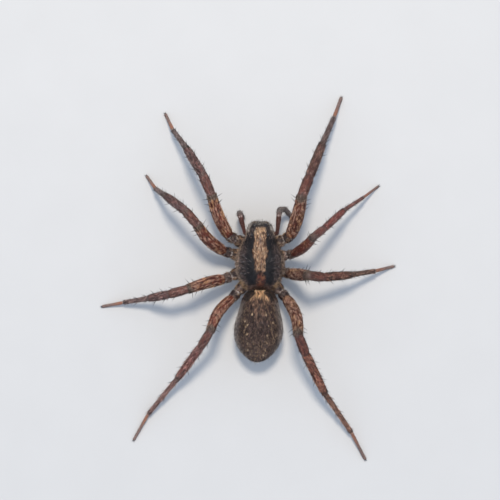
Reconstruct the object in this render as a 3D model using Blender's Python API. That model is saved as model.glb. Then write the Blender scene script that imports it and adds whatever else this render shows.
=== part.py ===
"""Wolf spider, life size, standing on its eight feet with its head to -Y and its left side to +X.

All sizes are in millimetres until a mesh is made. The body is modelled round the middle of its
cephalothorax on the floor, and is moved at the end so that the origin is the middle of its footprint.
Every piece is a loft through rings, apart from the eyes, which are spheres in sockets cut for them.
"""

import math

import bmesh
import bpy
from mathutils import Vector

MM = 0.001
CUT = 0.14  # thin gap between one piece and the next
SOCKET_GAP = 0.03  # gap round an eye in its socket
LEG_SIDES = 12
BODY_SIDES = 24
MOUTH_SIDES = 8
EYE_SEGMENTS, EYE_ROWS = 10, 7

# Legs, by pair from the front. Lengths of femur, patella, tibia, metatarsus and tarsus.
LEG_LENGTHS = {
    1: (8.2, 3.9, 6.2, 5.3, 3.5),
    2: (7.7, 3.2, 5.3, 4.8, 3.3),
    3: (6.8, 3.3, 5.1, 5.1, 3.2),
    4: (8.2, 3.7, 7.8, 8.4, 4.4),
}
# Half thickness of each pair against the front pair.
LEG_GIRTH = {1: 1.0, 2: 0.97, 3: 0.95, 4: 0.95}

# Half thickness along each segment of a front leg, as (share of the length, half thickness).
COXA_GIRTH = ((0.0, 0.72), (0.25, 0.95), (0.52, 1.00), (0.68, 0.80), (0.84, 0.90), (1.0, 0.76))
FEMUR_GIRTH = ((0.0, 0.74), (0.12, 0.89), (0.36, 0.95), (0.62, 0.92), (0.82, 0.85), (1.0, 0.78))
PATELLA_GIRTH = ((0.0, 0.66), (0.34, 0.75), (0.75, 0.77), (1.0, 0.64))
TIBIA_GIRTH = ((0.0, 0.65), (0.12, 0.71), (0.50, 0.70), (0.88, 0.63), (1.0, 0.52))
METATARSUS_GIRTH = ((0.0, 0.43), (0.10, 0.46), (0.50, 0.41), (0.92, 0.39), (1.0, 0.31))
TARSUS_GIRTH = ((0.0, 0.29), (0.12, 0.29), (0.60, 0.27), (1.0, 0.26))
THINNEST = 0.26
PAD_GIRTH = ((0.0, 0.27), (0.6, 0.27), (1.0, 0.26))
# Pieces of a leg, as (name, first, last) of its segments. The tibia takes in the patella, and the foot is
# the metatarsus, the tarsus and the level pad that it stands on.
LEG_PIECES = (("coxa", 0, 0), ("femur", 1, 1), ("tibia", 2, 3), ("foot", 4, 6))

# Pose of each leg. hip is the top of the femur from the body's middle. heading turns from straight ahead
# out to the leg's own side and pitch is up from level, both in degrees for femur, patella, tibia,
# metatarsus and tarsus; the last pitch is found from the floor. bow bends the femur sideways, reach scales
# the leg's length, and stout its thickness, but makes no coxa thicker.
HIP_HEIGHT = 4.0
LEG_POSES = {
    "1_left": dict(
        hip=(4.9, -4.1), heading=(23, 23, 32, 36, 26), pitch=(29, 19, -33, -42), bow=0.28, reach=0.96,
        stout=1.05,
    ),
    "1_right": dict(
        hip=(4.8, -4.1), heading=(15, 22, 22, 24, 21), pitch=(42, -32, -25, -29), bow=0.22, reach=1.03,
        stout=1.10,
    ),
    "2_left": dict(
        hip=(5.7, -1.7), heading=(45, 40, 53, 55, 37), pitch=(39, 20, -38, -62), bow=0.42, reach=0.96,
        stout=1.06,
    ),
    "2_right": dict(
        hip=(5.3, -1.3), heading=(48, 54, 48, 57, 54), pitch=(60, -50, -33, -39), bow=0.28, reach=1.02,
        stout=0.92,
    ),
    "3_left": dict(
        hip=(5.7, 2.7), heading=(105, 106, 102, 100, 101), pitch=(30, -5, -47, -29), bow=-0.15, reach=0.97,
        stout=1.05,
    ),
    "3_right": dict(
        hip=(4.8, 1.9), heading=(93, 97, 86, 82, 77), pitch=(68, -43, -33, -39), bow=0.0, reach=1.03,
        stout=1.08,
    ),
    "4_left": dict(
        hip=(4.4, 5.7), heading=(146, 149, 144, 141, 151), pitch=(42, -33, -30, -20), bow=-0.55, reach=0.97
    ),
    "4_right": dict(
        hip=(4.1, 5.7), heading=(162, 159, 154, 146, 153), pitch=(47, -30, -26, -23), bow=-0.60, reach=1.03,
        stout=1.08,
    ),
}
FEMUR_ARCH = 0.25  # how far the middle of a femur stands above the line between its ends
FOOT_CENTRE = 0.17  # height of a pad's middle: less than its half thickness, so it has a flat on the floor
PAD_LENGTH = 0.45
COXA_BASES = {1: (1.50, -2.45, 3.45), 2: (1.98, -0.62, 3.42), 3: (1.98, 1.12, 3.42), 4: (1.50, 2.60, 3.45)}

# Feelers (pedipalps): the jaw lobe under the mouth, then femur, patella, tibia and tarsus.
PALP_LOBE = (0.62, -4.02, 3.05)
PALP_HIP_BACK, PALP_HIP_HEIGHT = -4.54, 4.15
PALP_LENGTHS = (3.6, 1.7, 2.0, 2.6)
PALP_GIRTHS = (
    ((0.0, 0.34), (0.25, 0.36), (0.80, 0.45), (1.0, 0.43)),
    ((0.0, 0.42), (0.50, 0.50), (1.0, 0.45)),
    ((0.0, 0.45), (0.50, 0.50), (1.0, 0.45)),
    ((0.0, 0.42), (0.35, 0.47), (0.75, 0.41), (1.0, 0.28)),
)
PALP_LOBE_GIRTH = ((0.0, 0.42), (0.40, 0.52), (0.80, 0.44), (1.0, 0.34))
PALP_PIECES = (("base", 0, 0), ("femur", 1, 1), ("tip", 2, 4))
PALP_POSES = {
    "left": dict(hip_out=2.40, heading=(15, 8, 200, 215), pitch=(36, -76, -84, -72)),
    "right": dict(hip_out=2.72, heading=(5, 10, 88, 140), pitch=(34, -62, -62, -56)),
}

# Carapace, as (y, half width, top, underside) from the face to the rear.
CARAPACE = (
    (-6.05, 1.46, 7.20, 5.75),
    (-5.90, 1.74, 7.52, 5.62),
    (-5.55, 2.00, 7.82, 5.48),
    (-5.00, 2.18, 8.02, 5.28),
    (-4.10, 2.38, 8.16, 5.02),
    (-3.10, 2.68, 8.20, 4.86),
    (-1.90, 3.32, 8.16, 4.80),
    (-0.70, 3.73, 8.12, 4.80),
    (0.50, 3.84, 8.05, 4.80),
    (1.70, 3.68, 7.86, 4.80),
    (2.80, 3.24, 7.45, 4.80),
    (3.60, 2.76, 6.92, 4.82),
    (4.10, 2.22, 6.35, 4.86),
    (4.35, 1.65, 5.85, 4.92),
)
SHOULDER = 0.92  # under 1 squares the carapace's section, over 1 makes it a ridge

# Abdomen, as (distance from its front, half width). It hangs a little lower and to one side at the rear.
ABDOMEN_FRONT = Vector((0.02, 4.44, 5.55))
ABDOMEN_REAR = Vector((0.40, 15.62, 4.30))
ABDOMEN_PROFILE = (
    (0.00, 0.90),
    (0.15, 1.55),
    (0.40, 2.05),
    (0.80, 2.48),
    (1.35, 2.78),
    (2.10, 3.02),
    (3.10, 3.24),
    (4.20, 3.55),
    (5.30, 3.80),
    (6.40, 3.92),
    (7.50, 3.80),
    (8.60, 3.40),
    (9.60, 2.82),
    (10.30, 2.22),
    (10.80, 1.66),
    (11.18, 1.02),
)
ABDOMEN_TALL = 0.86  # height against width above the middle
ABDOMEN_DEEP = 0.76  # and below it
PEDICEL = (Vector((0.0, 4.05, 4.36)), Vector((0.02, 4.47, 4.44)))
PEDICEL_GIRTH = ((0.0, 0.44), (0.5, 0.36), (1.0, 0.38))

# Sternum, as (y, half width), between the legs' coxae. Its narrow front end is the lip.
STERNUM = (
    (-3.4, 0.3),
    (-3.0, 0.55),
    (-2.4, 0.7),
    (-1.8, 1.15),
    (-0.9, 1.55),
    (0.2, 1.6),
    (1.2, 1.4),
    (2.0, 0.95),
    (2.7, 0.35),
)
STERNUM_TOP, STERNUM_BOTTOM = 4.62, 2.70

# Jaws (chelicerae) and fangs, left side.
CHELICERA = (Vector((0.87, -5.42, 5.12)), Vector((0.80, -5.66, 1.95)))
CHELICERA_GIRTH = ((0.0, 0.58), (0.14, 0.77), (0.40, 0.81), (0.80, 0.68), (1.0, 0.42))
FANG_ROOT = (0.98, -5.66, 1.60)
FANG_REACH = (0.68, 0.68, -0.45)  # inwards, back and up from its root to its tip
FANG_CURL = 0.20  # how far its middle hangs below the line between its ends
FANG_GIRTH = ((0.0, 0.30), (0.5, 0.28), (1.0, 0.25))

# Eyes on the left side, as (name, centre, radius).
EYES = (
    ("eye_front_middle", (0.30, -6.03, 6.42), 0.19),
    ("eye_front_outer", (0.84, -5.95, 6.36), 0.16),
    ("eye_large", (0.86, -5.72, 7.26), 0.37),
    ("eye_rear", (1.24, -4.22, 7.76), 0.31),
)

SPINNERET_ROOT = Vector((0.48, 15.70, 4.10))
# Each pair's offset from there, and its length.
SPINNERETS = (((0.24, 0.0, 0.0), 0.38), ((0.26, 0.0, -0.48), 0.32))
SPINNERET_GIRTH = ((0.0, 0.21), (0.6, 0.20), (1.0, 0.16))
SPINNERET_PITCH = -6

MATERIALS = {
    "carapace": ((0.055, 0.038, 0.030), 0.60),
    "abdomen": ((0.090, 0.065, 0.048), 0.80),
    "leg": ((0.210, 0.085, 0.045), 0.55),
    "underside": ((0.120, 0.075, 0.048), 0.70),
    "jaw": ((0.060, 0.030, 0.022), 0.35),
    "fang": ((0.030, 0.008, 0.005), 0.20),
    "eye": ((0.012, 0.012, 0.014), 0.06),
}


def clear_scene():
    for obj in list(bpy.data.objects):
        bpy.data.objects.remove(obj, do_unlink=True)


def new_collection(name):
    collection = bpy.data.collections.new(name)
    bpy.context.scene.collection.children.link(collection)
    return collection


def make_material(name):
    colour, roughness = MATERIALS[name]
    material = bpy.data.materials.new(name)
    material.use_nodes = True
    shader = material.node_tree.nodes["Principled BSDF"]
    shader.inputs["Base Color"].default_value = (*colour, 1)
    shader.inputs["Roughness"].default_value = roughness
    return material


def loft(name, rings, material, collection):
    """One closed solid through rings with the same number of points, with a flat cap at each end."""
    mesh = bmesh.new()
    rows = [[mesh.verts.new(Vector(point) * MM) for point in ring] for ring in rings]
    sides = len(rows[0])
    for row, following in zip(rows, rows[1:]):
        for k in range(sides):
            after = (k + 1) % sides
            mesh.faces.new((row[k], row[after], following[after], following[k]))
    mesh.faces.new(list(reversed(rows[0])))
    mesh.faces.new(rows[-1])
    bmesh.ops.recalc_face_normals(mesh, faces=mesh.faces)
    return add_object(name, mesh, material, collection)


def add_object(name, mesh, material, collection):
    data = bpy.data.meshes.new(name)
    mesh.to_mesh(data)
    mesh.free()
    data.materials.append(material)
    data.shade_smooth()
    data.set_sharp_from_angle(angle=math.radians(50))
    obj = bpy.data.objects.new(name, data)
    collection.objects.link(obj)
    return obj


def sphere(name, centre, radius, material, collection):
    mesh = bmesh.new()
    bmesh.ops.create_uvsphere(mesh, u_segments=EYE_SEGMENTS, v_segments=EYE_ROWS, radius=radius * MM)
    bmesh.ops.translate(mesh, verts=mesh.verts, vec=Vector(centre) * MM)
    return add_object(name, mesh, material, collection)


def direction(heading, pitch, side):
    """Unit vector for a heading out from straight ahead (-Y) to a side (+1 left, -1 right), and a pitch."""
    turn, lift = math.radians(heading), math.radians(pitch)
    out, ahead = side * math.sin(turn), -math.cos(turn)
    return Vector((math.cos(lift) * out, math.cos(lift) * ahead, math.sin(lift)))


def limb_joints(start, lengths, heading, pitch, side, floor=None):
    """Joint places along a limb. Segments past the last pitch lead down to the floor, and along it."""
    joints = [Vector(start)]
    for i, length in enumerate(lengths):
        lift = pitch[i] if i < len(pitch) else math.degrees(math.asin((floor - joints[-1].z) / length))
        joints.append(joints[-1] + direction(heading[i], lift, side) * length)
    return joints


def stations_between(start, end, profile, scale, bend=Vector()):
    """(place, half thickness) at each share of one segment's profile, bent sideways most at its middle."""
    return [
        (start.lerp(end, share) + bend * math.sin(math.pi * share), half * scale) for share, half in profile
    ]


def rings_along(stations, first_normal, last_normal, side_hint, sides):
    """Round rings through a chain of (place, half thickness), none of them below the floor.

    They are square to the chain inside it, and to the given normals at its ends.
    """
    rings, side = [], Vector(side_hint)
    for i, (place, half) in enumerate(stations):
        if i == 0:
            along = first_normal
        elif i == len(stations) - 1:
            along = last_normal
        else:
            along = (stations[i + 1][0] - stations[i - 1][0]).normalized()
        side = (side - along * side.dot(along)).normalized()
        up = along.cross(side)
        ring = []
        for k in range(sides):
            turn = math.tau * (k + 0.5) / sides
            point = place + side * (half * math.cos(turn)) + up * (half * math.sin(turn))
            point.z = max(point.z, 0.0)
            ring.append(point)
        rings.append(ring)
    return rings


def build_limb(prefix, pieces, joints, profiles, scale, bends, across, sides, material, collection):
    """One loft for each of the limb's pieces, parted by thin cuts halfway round each bend."""
    segments = [
        stations_between(joints[i], joints[i + 1], profile, scale, bends.get(i, Vector()))
        for i, profile in enumerate(profiles)
    ]
    starts = [(chain[1][0] - chain[0][0]).normalized() for chain in segments]
    ends = [(chain[-1][0] - chain[-2][0]).normalized() for chain in segments]
    cuts = [starts[0], *((end + start).normalized() for end, start in zip(ends, starts[1:])), ends[-1]]
    for name, first, last in pieces:
        stations = list(segments[first])
        for chain in segments[first + 1 : last + 1]:
            stations += chain[1:]
        stations = [(place, max(half, THINNEST)) for place, half in stations]
        if first > 0:
            stations[0] = (stations[0][0] + cuts[first] * CUT / 2, stations[0][1])
        if last < len(profiles) - 1:
            stations[-1] = (stations[-1][0] - cuts[last + 1] * CUT / 2, stations[-1][1])
        rings = rings_along(stations, cuts[first], cuts[last + 1], across, sides)
        loft(f"{prefix}_{name}", rings, material, collection)


def stouter(profile, factor):
    return tuple((share, half * factor) for share, half in profile)


def build_leg(key, materials, collection):
    pair, side_name = int(key[0]), key[2:]
    side = 1 if side_name == "left" else -1
    pose = LEG_POSES[key]
    lengths = [*(length * pose["reach"] for length in LEG_LENGTHS[pair]), PAD_LENGTH]
    headings = (*pose["heading"], pose["heading"][-1])
    hip = Vector((side * pose["hip"][0], pose["hip"][1], HIP_HEIGHT))
    base_out, base_back, base_height = COXA_BASES[pair]
    base = Vector((side * base_out, base_back, base_height))
    joints = [base, *limb_joints(hip, lengths, headings, pose["pitch"], side, floor=FOOT_CENTRE)]
    across = direction(pose["heading"][0] + 90, 0, side)
    beyond = (FEMUR_GIRTH, PATELLA_GIRTH, TIBIA_GIRTH, METATARSUS_GIRTH, TARSUS_GIRTH, PAD_GIRTH)
    stout = pose.get("stout", 1.0)
    profiles = (stouter(COXA_GIRTH, min(stout, 1.0)), *(stouter(profile, stout) for profile in beyond))
    scale = LEG_GIRTH[pair]
    bends = {1: across * pose["bow"] + Vector((0, 0, FEMUR_ARCH))}
    build_limb(
        f"leg_{key}", LEG_PIECES, joints, profiles, scale, bends, across, LEG_SIDES, materials["leg"],
        collection,
    )


def build_palp(side_name, materials, collection):
    side = 1 if side_name == "left" else -1
    pose = PALP_POSES[side_name]
    lobe = Vector((side * PALP_LOBE[0], *PALP_LOBE[1:]))
    hip = Vector((side * pose["hip_out"], PALP_HIP_BACK, PALP_HIP_HEIGHT))
    joints = [lobe, *limb_joints(hip, PALP_LENGTHS, pose["heading"], pose["pitch"], side)]
    across = direction(pose["heading"][0] + 90, 0, side)
    profiles = (PALP_LOBE_GIRTH, *PALP_GIRTHS)
    build_limb(
        f"palp_{side_name}", PALP_PIECES, joints, profiles, 1.0, {}, across, MOUTH_SIDES, materials["leg"],
        collection,
    )


def carapace_ring(y, half_width, top, under):
    """A section of the carapace: a dome over a flat underside."""
    ring = []
    arc = BODY_SIDES // 2
    for k in range(arc + 1):
        turn = math.pi * k / arc
        reach = abs(math.cos(turn)) ** SHOULDER * math.copysign(1, math.cos(turn))
        ring.append((half_width * reach, y, under + (top - under) * math.sin(turn) ** SHOULDER))
    return ring


def build_carapace(materials, collection, cutters):
    rings = [carapace_ring(*station) for station in CARAPACE]
    carapace = loft("carapace", rings, materials["carapace"], collection)
    for name, centre, radius in EYES:
        for side_name, side in (("left", 1), ("right", -1)):
            place = (side * centre[0], centre[1], centre[2])
            sphere(f"{name}_{side_name}", place, radius, materials["eye"], collection)
            size = radius + SOCKET_GAP
            cutter = sphere(f"socket_{name}_{side_name}", place, size, materials["eye"], cutters)
            cutter.hide_render = True
            cutter.display_type = "WIRE"
            socket = carapace.modifiers.new(cutter.name, "BOOLEAN")
            socket.operation = "DIFFERENCE"
            socket.solver = "EXACT"
            socket.object = cutter


def oval_ring(centre, half_width, above, below, sides):
    """An upright section whose top and bottom halves have their own heights."""
    ring = []
    for k in range(sides):
        turn = math.tau * (k + 0.5) / sides
        height = above if math.sin(turn) > 0 else below
        ring.append(centre + Vector((half_width * math.cos(turn), 0, height * math.sin(turn))))
    return ring


def build_abdomen(materials, collection):
    length = ABDOMEN_PROFILE[-1][0]
    rings = []
    for distance, half in ABDOMEN_PROFILE:
        centre = ABDOMEN_FRONT.lerp(ABDOMEN_REAR, distance / length)
        rings.append(oval_ring(centre, half, half * ABDOMEN_TALL, half * ABDOMEN_DEEP, BODY_SIDES))
    loft("abdomen", rings, materials["abdomen"], collection)
    start, end = PEDICEL
    way = (end - start).normalized()
    end = end - way * CUT
    stations = stations_between(start, end, PEDICEL_GIRTH, 1.0)
    rings = rings_along(stations, way, way, (1, 0, 0), MOUTH_SIDES)
    loft("waist", rings, materials["underside"], collection)


def build_spinnerets(materials, collection):
    """Two pairs of short spinnerets, each its own piece, below the abdomen's tip."""
    for pair, ((out, along, lift), length) in enumerate(SPINNERETS, start=1):
        for side_name, side in (("left", 1), ("right", -1)):
            start = SPINNERET_ROOT + Vector((side * out, along, lift))
            way = direction(180, SPINNERET_PITCH, 1)
            stations = stations_between(start, start + way * length, SPINNERET_GIRTH, 1.0)
            rings = rings_along(stations, way, way, (1, 0, 0), MOUTH_SIDES)
            loft(f"spinneret_{pair}_{side_name}", rings, materials["underside"], collection)


def build_sternum(materials, collection):
    middle = (STERNUM_TOP + STERNUM_BOTTOM) / 2
    half_height = (STERNUM_TOP - STERNUM_BOTTOM) / 2
    rings = [
        oval_ring(Vector((0, y, middle)), half, half_height, half_height, LEG_SIDES)
        for y, half in STERNUM
    ]
    loft("sternum", rings, materials["underside"], collection)


def build_jaws(materials, collection):
    for side_name, side in (("left", 1), ("right", -1)):
        start, end = (Vector((side * place.x, place.y, place.z)) for place in CHELICERA)
        way = (end - start).normalized()
        stations = stations_between(start, end, CHELICERA_GIRTH, 1.0)
        rings = rings_along(stations, way, way, (1, 0, 0), MOUTH_SIDES)
        loft(f"chelicera_{side_name}", rings, materials["jaw"], collection)
        root = Vector((side * FANG_ROOT[0], *FANG_ROOT[1:]))
        reach = Vector((-side * FANG_REACH[0], *FANG_REACH[1:]))
        stations = stations_between(root, root + reach, FANG_GIRTH, 1.0, Vector((0, 0, -FANG_CURL)))
        rings = rings_along(stations, reach.normalized(), reach.normalized(), (0, 0, 1), MOUTH_SIDES)
        loft(f"fang_{side_name}", rings, materials["fang"], collection)


def centre_on_footprint(collection):
    """Moves everything so that the origin is the middle of the bounding box, on the floor."""
    bpy.context.view_layer.update()
    points = [Vector(corner) for obj in collection.objects for corner in obj.bound_box]
    low = Vector(min(p[k] for p in points) for k in range(3))
    high = Vector(max(p[k] for p in points) for k in range(3))
    shift = Vector((-(low.x + high.x) / 2, -(low.y + high.y) / 2, -low.z))
    for obj in bpy.data.objects:
        obj.location = shift


def main():
    clear_scene()
    collection = new_collection("wolf_spider")
    cutters = new_collection("cutters")
    materials = {name: make_material(name) for name in MATERIALS}
    build_carapace(materials, collection, cutters)
    build_abdomen(materials, collection)
    build_spinnerets(materials, collection)
    build_sternum(materials, collection)
    build_jaws(materials, collection)
    for key in LEG_POSES:
        build_leg(key, materials, collection)
    for side_name in PALP_POSES:
        build_palp(side_name, materials, collection)
    centre_on_footprint(collection)


main()
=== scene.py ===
import itertools
import math
from collections import namedtuple
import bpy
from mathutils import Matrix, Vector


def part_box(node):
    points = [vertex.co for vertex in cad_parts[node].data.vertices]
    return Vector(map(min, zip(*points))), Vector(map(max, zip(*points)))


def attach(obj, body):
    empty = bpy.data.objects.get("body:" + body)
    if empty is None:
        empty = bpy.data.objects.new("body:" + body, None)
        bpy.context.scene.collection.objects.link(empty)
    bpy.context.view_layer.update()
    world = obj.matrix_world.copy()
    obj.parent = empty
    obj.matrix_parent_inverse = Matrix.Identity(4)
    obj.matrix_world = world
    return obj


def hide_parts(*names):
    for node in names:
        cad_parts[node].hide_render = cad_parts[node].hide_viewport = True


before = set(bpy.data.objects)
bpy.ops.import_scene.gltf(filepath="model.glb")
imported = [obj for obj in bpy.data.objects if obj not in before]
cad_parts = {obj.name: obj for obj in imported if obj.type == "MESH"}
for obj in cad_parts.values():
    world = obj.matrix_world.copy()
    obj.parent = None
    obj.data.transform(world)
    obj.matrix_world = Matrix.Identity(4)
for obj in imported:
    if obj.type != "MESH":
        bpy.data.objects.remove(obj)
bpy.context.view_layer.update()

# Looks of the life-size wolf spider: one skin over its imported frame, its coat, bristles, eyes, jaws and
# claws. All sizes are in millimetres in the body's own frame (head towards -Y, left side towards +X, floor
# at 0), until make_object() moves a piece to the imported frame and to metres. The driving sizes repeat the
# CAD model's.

from types import SimpleNamespace

import bpy
import numpy as np
from mathutils import Vector
from mathutils.bvhtree import BVHTree
from mathutils.kdtree import KDTree

MM = 0.001
RNG = np.random.default_rng(11)
SIDES = {"left": 1, "right": -1}

# ---------------- driving sizes, as in the CAD model

# Lengths of each pair's segments from femur to tarsus, and half thicknesses as (share along it, mm).
LEG_LENGTHS = {
    1: (8.2, 3.9, 6.2, 5.3, 3.5),
    2: (7.7, 3.2, 5.3, 4.8, 3.3),
    3: (6.8, 3.3, 5.1, 5.1, 3.2),
    4: (8.2, 3.7, 7.8, 8.4, 4.4),
}
LEG_GIRTH = {1: 1.0, 2: 0.97, 3: 0.95, 4: 0.95}
COXA_GIRTH = ((0.0, 0.72), (0.25, 0.95), (0.52, 1.00), (0.68, 0.80), (0.84, 0.90), (1.0, 0.76))
FEMUR_GIRTH = ((0.0, 0.74), (0.12, 0.89), (0.36, 0.95), (0.62, 0.92), (0.82, 0.85), (1.0, 0.78))
PATELLA_GIRTH = ((0.0, 0.66), (0.34, 0.75), (0.75, 0.77), (1.0, 0.64))
TIBIA_GIRTH = ((0.0, 0.65), (0.12, 0.71), (0.50, 0.70), (0.88, 0.63), (1.0, 0.52))
METATARSUS_GIRTH = ((0.0, 0.43), (0.10, 0.46), (0.50, 0.41), (0.92, 0.39), (1.0, 0.31))
TARSUS_GIRTH = ((0.0, 0.29), (0.12, 0.29), (0.60, 0.27), (1.0, 0.26))
LEG_PROFILES = (COXA_GIRTH, FEMUR_GIRTH, PATELLA_GIRTH, TIBIA_GIRTH, METATARSUS_GIRTH, TARSUS_GIRTH)

# How a leg stands: the hip's x and y, each segment's heading and pitch in degrees (the tarsus comes down
# to the floor), the femur's sideways bow, and how much longer and stouter it is than its pair.
LegPose = namedtuple("LegPose", "hip heading pitch bow reach stout")
LEG_POSES = {
    "1_left": LegPose((4.9, -4.1), (23, 23, 32, 36, 26), (29, 19, -33, -42), 0.28, 0.96, 1.05),
    "1_right": LegPose((4.8, -4.1), (15, 22, 22, 24, 21), (42, -32, -25, -29), 0.22, 1.03, 1.10),
    "2_left": LegPose((5.7, -1.7), (45, 40, 53, 55, 37), (39, 20, -38, -62), 0.42, 0.96, 1.06),
    "2_right": LegPose((5.3, -1.3), (48, 54, 48, 57, 54), (60, -50, -33, -39), 0.28, 1.02, 0.92),
    "3_left": LegPose((5.7, 2.7), (105, 106, 102, 100, 101), (30, -5, -47, -29), -0.15, 0.97, 1.05),
    "3_right": LegPose((4.8, 1.9), (93, 97, 86, 82, 77), (68, -43, -33, -39), 0.0, 1.03, 1.08),
    "4_left": LegPose((4.4, 5.7), (146, 149, 144, 141, 151), (42, -33, -30, -20), -0.55, 0.97, 1.0),
    "4_right": LegPose((4.1, 5.7), (162, 159, 154, 146, 153), (47, -30, -26, -23), -0.60, 1.03, 1.08),
}
HIP_HEIGHT = 4.0
FEMUR_ARCH = 0.25
FOOT_CENTRE = 0.17
PAD_LENGTH = 0.45
COXA_BASES = {
    1: (1.50, -2.45, 3.45),
    2: (1.98, -0.62, 3.42),
    3: (1.98, 1.12, 3.42),
    4: (1.50, 2.60, 3.45),
}

PALP_LOBE = (0.62, -4.02, 3.05)
PALP_HIP_BACK, PALP_HIP_HEIGHT = -4.54, 4.15
PALP_LENGTHS = (3.6, 1.7, 2.0, 2.6)
PALP_PROFILES = (
    ((0.0, 0.42), (0.40, 0.52), (0.80, 0.44), (1.0, 0.34)),
    ((0.0, 0.34), (0.25, 0.36), (0.80, 0.45), (1.0, 0.43)),
    ((0.0, 0.42), (0.50, 0.50), (1.0, 0.45)),
    ((0.0, 0.45), (0.50, 0.50), (1.0, 0.45)),
    ((0.0, 0.42), (0.35, 0.47), (0.75, 0.41), (1.0, 0.28)),
)
PalpPose = namedtuple("PalpPose", "hip_out heading pitch")
PALP_POSES = {
    "left": PalpPose(2.40, (15, 8, 200, 215), (36, -76, -84, -72)),
    "right": PalpPose(2.72, (5, 10, 88, 140), (34, -62, -62, -56)),
}

# Carapace, as (y, half width, top, underside).
CARAPACE = (
    (-6.05, 1.46, 7.20, 5.75),
    (-5.90, 1.74, 7.52, 5.62),
    (-5.55, 2.00, 7.82, 5.48),
    (-5.00, 2.18, 8.02, 5.28),
    (-4.10, 2.38, 8.16, 5.02),
    (-3.10, 2.68, 8.20, 4.86),
    (-1.90, 3.32, 8.16, 4.80),
    (-0.70, 3.73, 8.12, 4.80),
    (0.50, 3.84, 8.05, 4.80),
    (1.70, 3.68, 7.86, 4.80),
    (2.80, 3.24, 7.45, 4.80),
    (3.60, 2.76, 6.92, 4.82),
    (4.10, 2.22, 6.35, 4.86),
    (4.35, 1.65, 5.85, 4.92),
)
SHOULDER = 0.92  # the power of its arch: 1 is round, and less is squarer
UNDERSIDE_WIDTH, UNDERSIDE_HOLLOW, UNDERSIDE_LIP = 0.985, 0.10, 0.14
BROW_END, BROW_HALF = (0.58, -5.88, 6.93), 0.42  # of the roll between the large eyes
FOVEA, FOVEA_DEPTH, FOVEA_HALF = (0.25, 1.4), 0.20, 0.10
# Grooves that spread from the fovea over each side, as (x and y of the far end, depth, half width).
CARAPACE_GROOVES = (
    (2.2, -3.4, 0.15, 0.26), (3.3, -1.2, 0.09, 0.22), (3.6, 0.7, 0.09, 0.22), (2.9, 2.6, 0.08, 0.20),
)
# Middle of the body between carapace and sternum, which carries the legs, then the sternum, as (y, half
# width).
TRUNK = ((-4.6, 0.9), (-3.4, 1.7), (-1.8, 2.4), (0.4, 2.7), (2.2, 2.2), (3.4, 1.4), (4.0, 0.8))
TRUNK_TOP, TRUNK_BOTTOM = 5.40, 3.05
STERNUM = (
    (-3.4, 0.3), (-3.0, 0.55), (-2.4, 0.7), (-1.8, 1.15), (-0.9, 1.55), (0.2, 1.6), (1.2, 1.4),
    (2.0, 0.95), (2.7, 0.35),
)
STERNUM_TOP, STERNUM_BOTTOM = 4.62, 2.70

# Abdomen: its ends, and its half width as (distance from the front end, half width).
ABDOMEN_FRONT = np.array((0.02, 4.44, 5.55))
ABDOMEN_REAR = np.array((0.40, 15.62, 4.30))
ABDOMEN_PROFILE = (
    (0.00, 0.90), (0.15, 1.55), (0.40, 2.05), (0.80, 2.48), (1.35, 2.78), (2.10, 3.02), (3.10, 3.24),
    (4.20, 3.55), (5.30, 3.80), (6.40, 3.92), (7.50, 3.80), (8.60, 3.40), (9.60, 2.82), (10.30, 2.22),
    (10.80, 1.66), (11.18, 1.02),
)
ABDOMEN_TALL, ABDOMEN_DEEP = 0.86, 0.76
# Small dimples on top where muscles hold, as (x from the middle line, y).
ABDOMEN_MIDDLE = 0.30
DIMPLES = ((0.85, 8.1), (1.0, 10.3), (0.8, 12.2))
DIMPLE_DEPTH, DIMPLE_SIZE = 0.10, 0.20
FURROW_Y, FURROW_DEPTH = 8.3, 0.16  # behind the book lungs
LUNG_COVER_OUT, LUNG_COVER_Y, LUNG_COVER_RISE = 1.35, 7.4, 0.07
PEDICEL = ((0.0, 3.70, 4.45), (0.06, 5.00, 4.60))
PEDICEL_GIRTH = (0.36, 0.32)
# Each pair of spinnerets, as (offset from their root, length, half thickness).
SPINNERET_ROOT = np.array((0.48, 15.40, 4.10))
SPINNERETS = (
    ((0.24, 0.0, 0.0), 0.68, 0.20),
    ((0.26, 0.0, -0.48), 0.62, 0.20),
    ((0.10, 0.0, -0.24), 0.56, 0.10),
)
SPINNERET_PITCH = -6
ANAL_TUBERCLE = np.array((0.48, 15.52, 4.62))
TUBERCLE_REACH, TUBERCLE_GIRTH = np.array((0, 0.16, 0.0)), (0.30, 0.20)

CHELICERA = ((0.87, -5.42, 5.12), (0.80, -5.66, 1.95))
CHELICERA_GIRTH = ((0.0, 0.58), (0.14, 0.77), (0.40, 0.81), (0.80, 0.68), (1.0, 0.42))
CHELICERA_BULGE = np.array((0, -0.10, 0))
FANG_ROOT = (0.98, -5.66, 1.60)
FANG_REACH = (0.68, 0.68, -0.45)
FANG_CURL = np.array((0, 0, 0.20))
FANG_GIRTH = ((0.0, 0.27), (0.25, 0.21), (0.6, 0.14), (1.0, 0.03))

# Eyes of the left side, as (name, centre, radius, the way it looks).
EYES = (
    ("eye_front_middle", (0.30, -6.03, 6.42), 0.19, (0.10, -1.0, 0.05)),
    ("eye_front_outer", (0.84, -5.95, 6.36), 0.16, (0.45, -1.0, 0.0)),
    ("eye_large", (0.86, -5.72, 7.26), 0.37, (0.35, -1.0, 0.50)),
    ("eye_rear", (1.24, -4.22, 7.76), 0.31, (0.80, 0.15, 0.95)),
)
LARGE_EYE = EYES[2][1]

# ---------------- skin and coat settings

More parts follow.
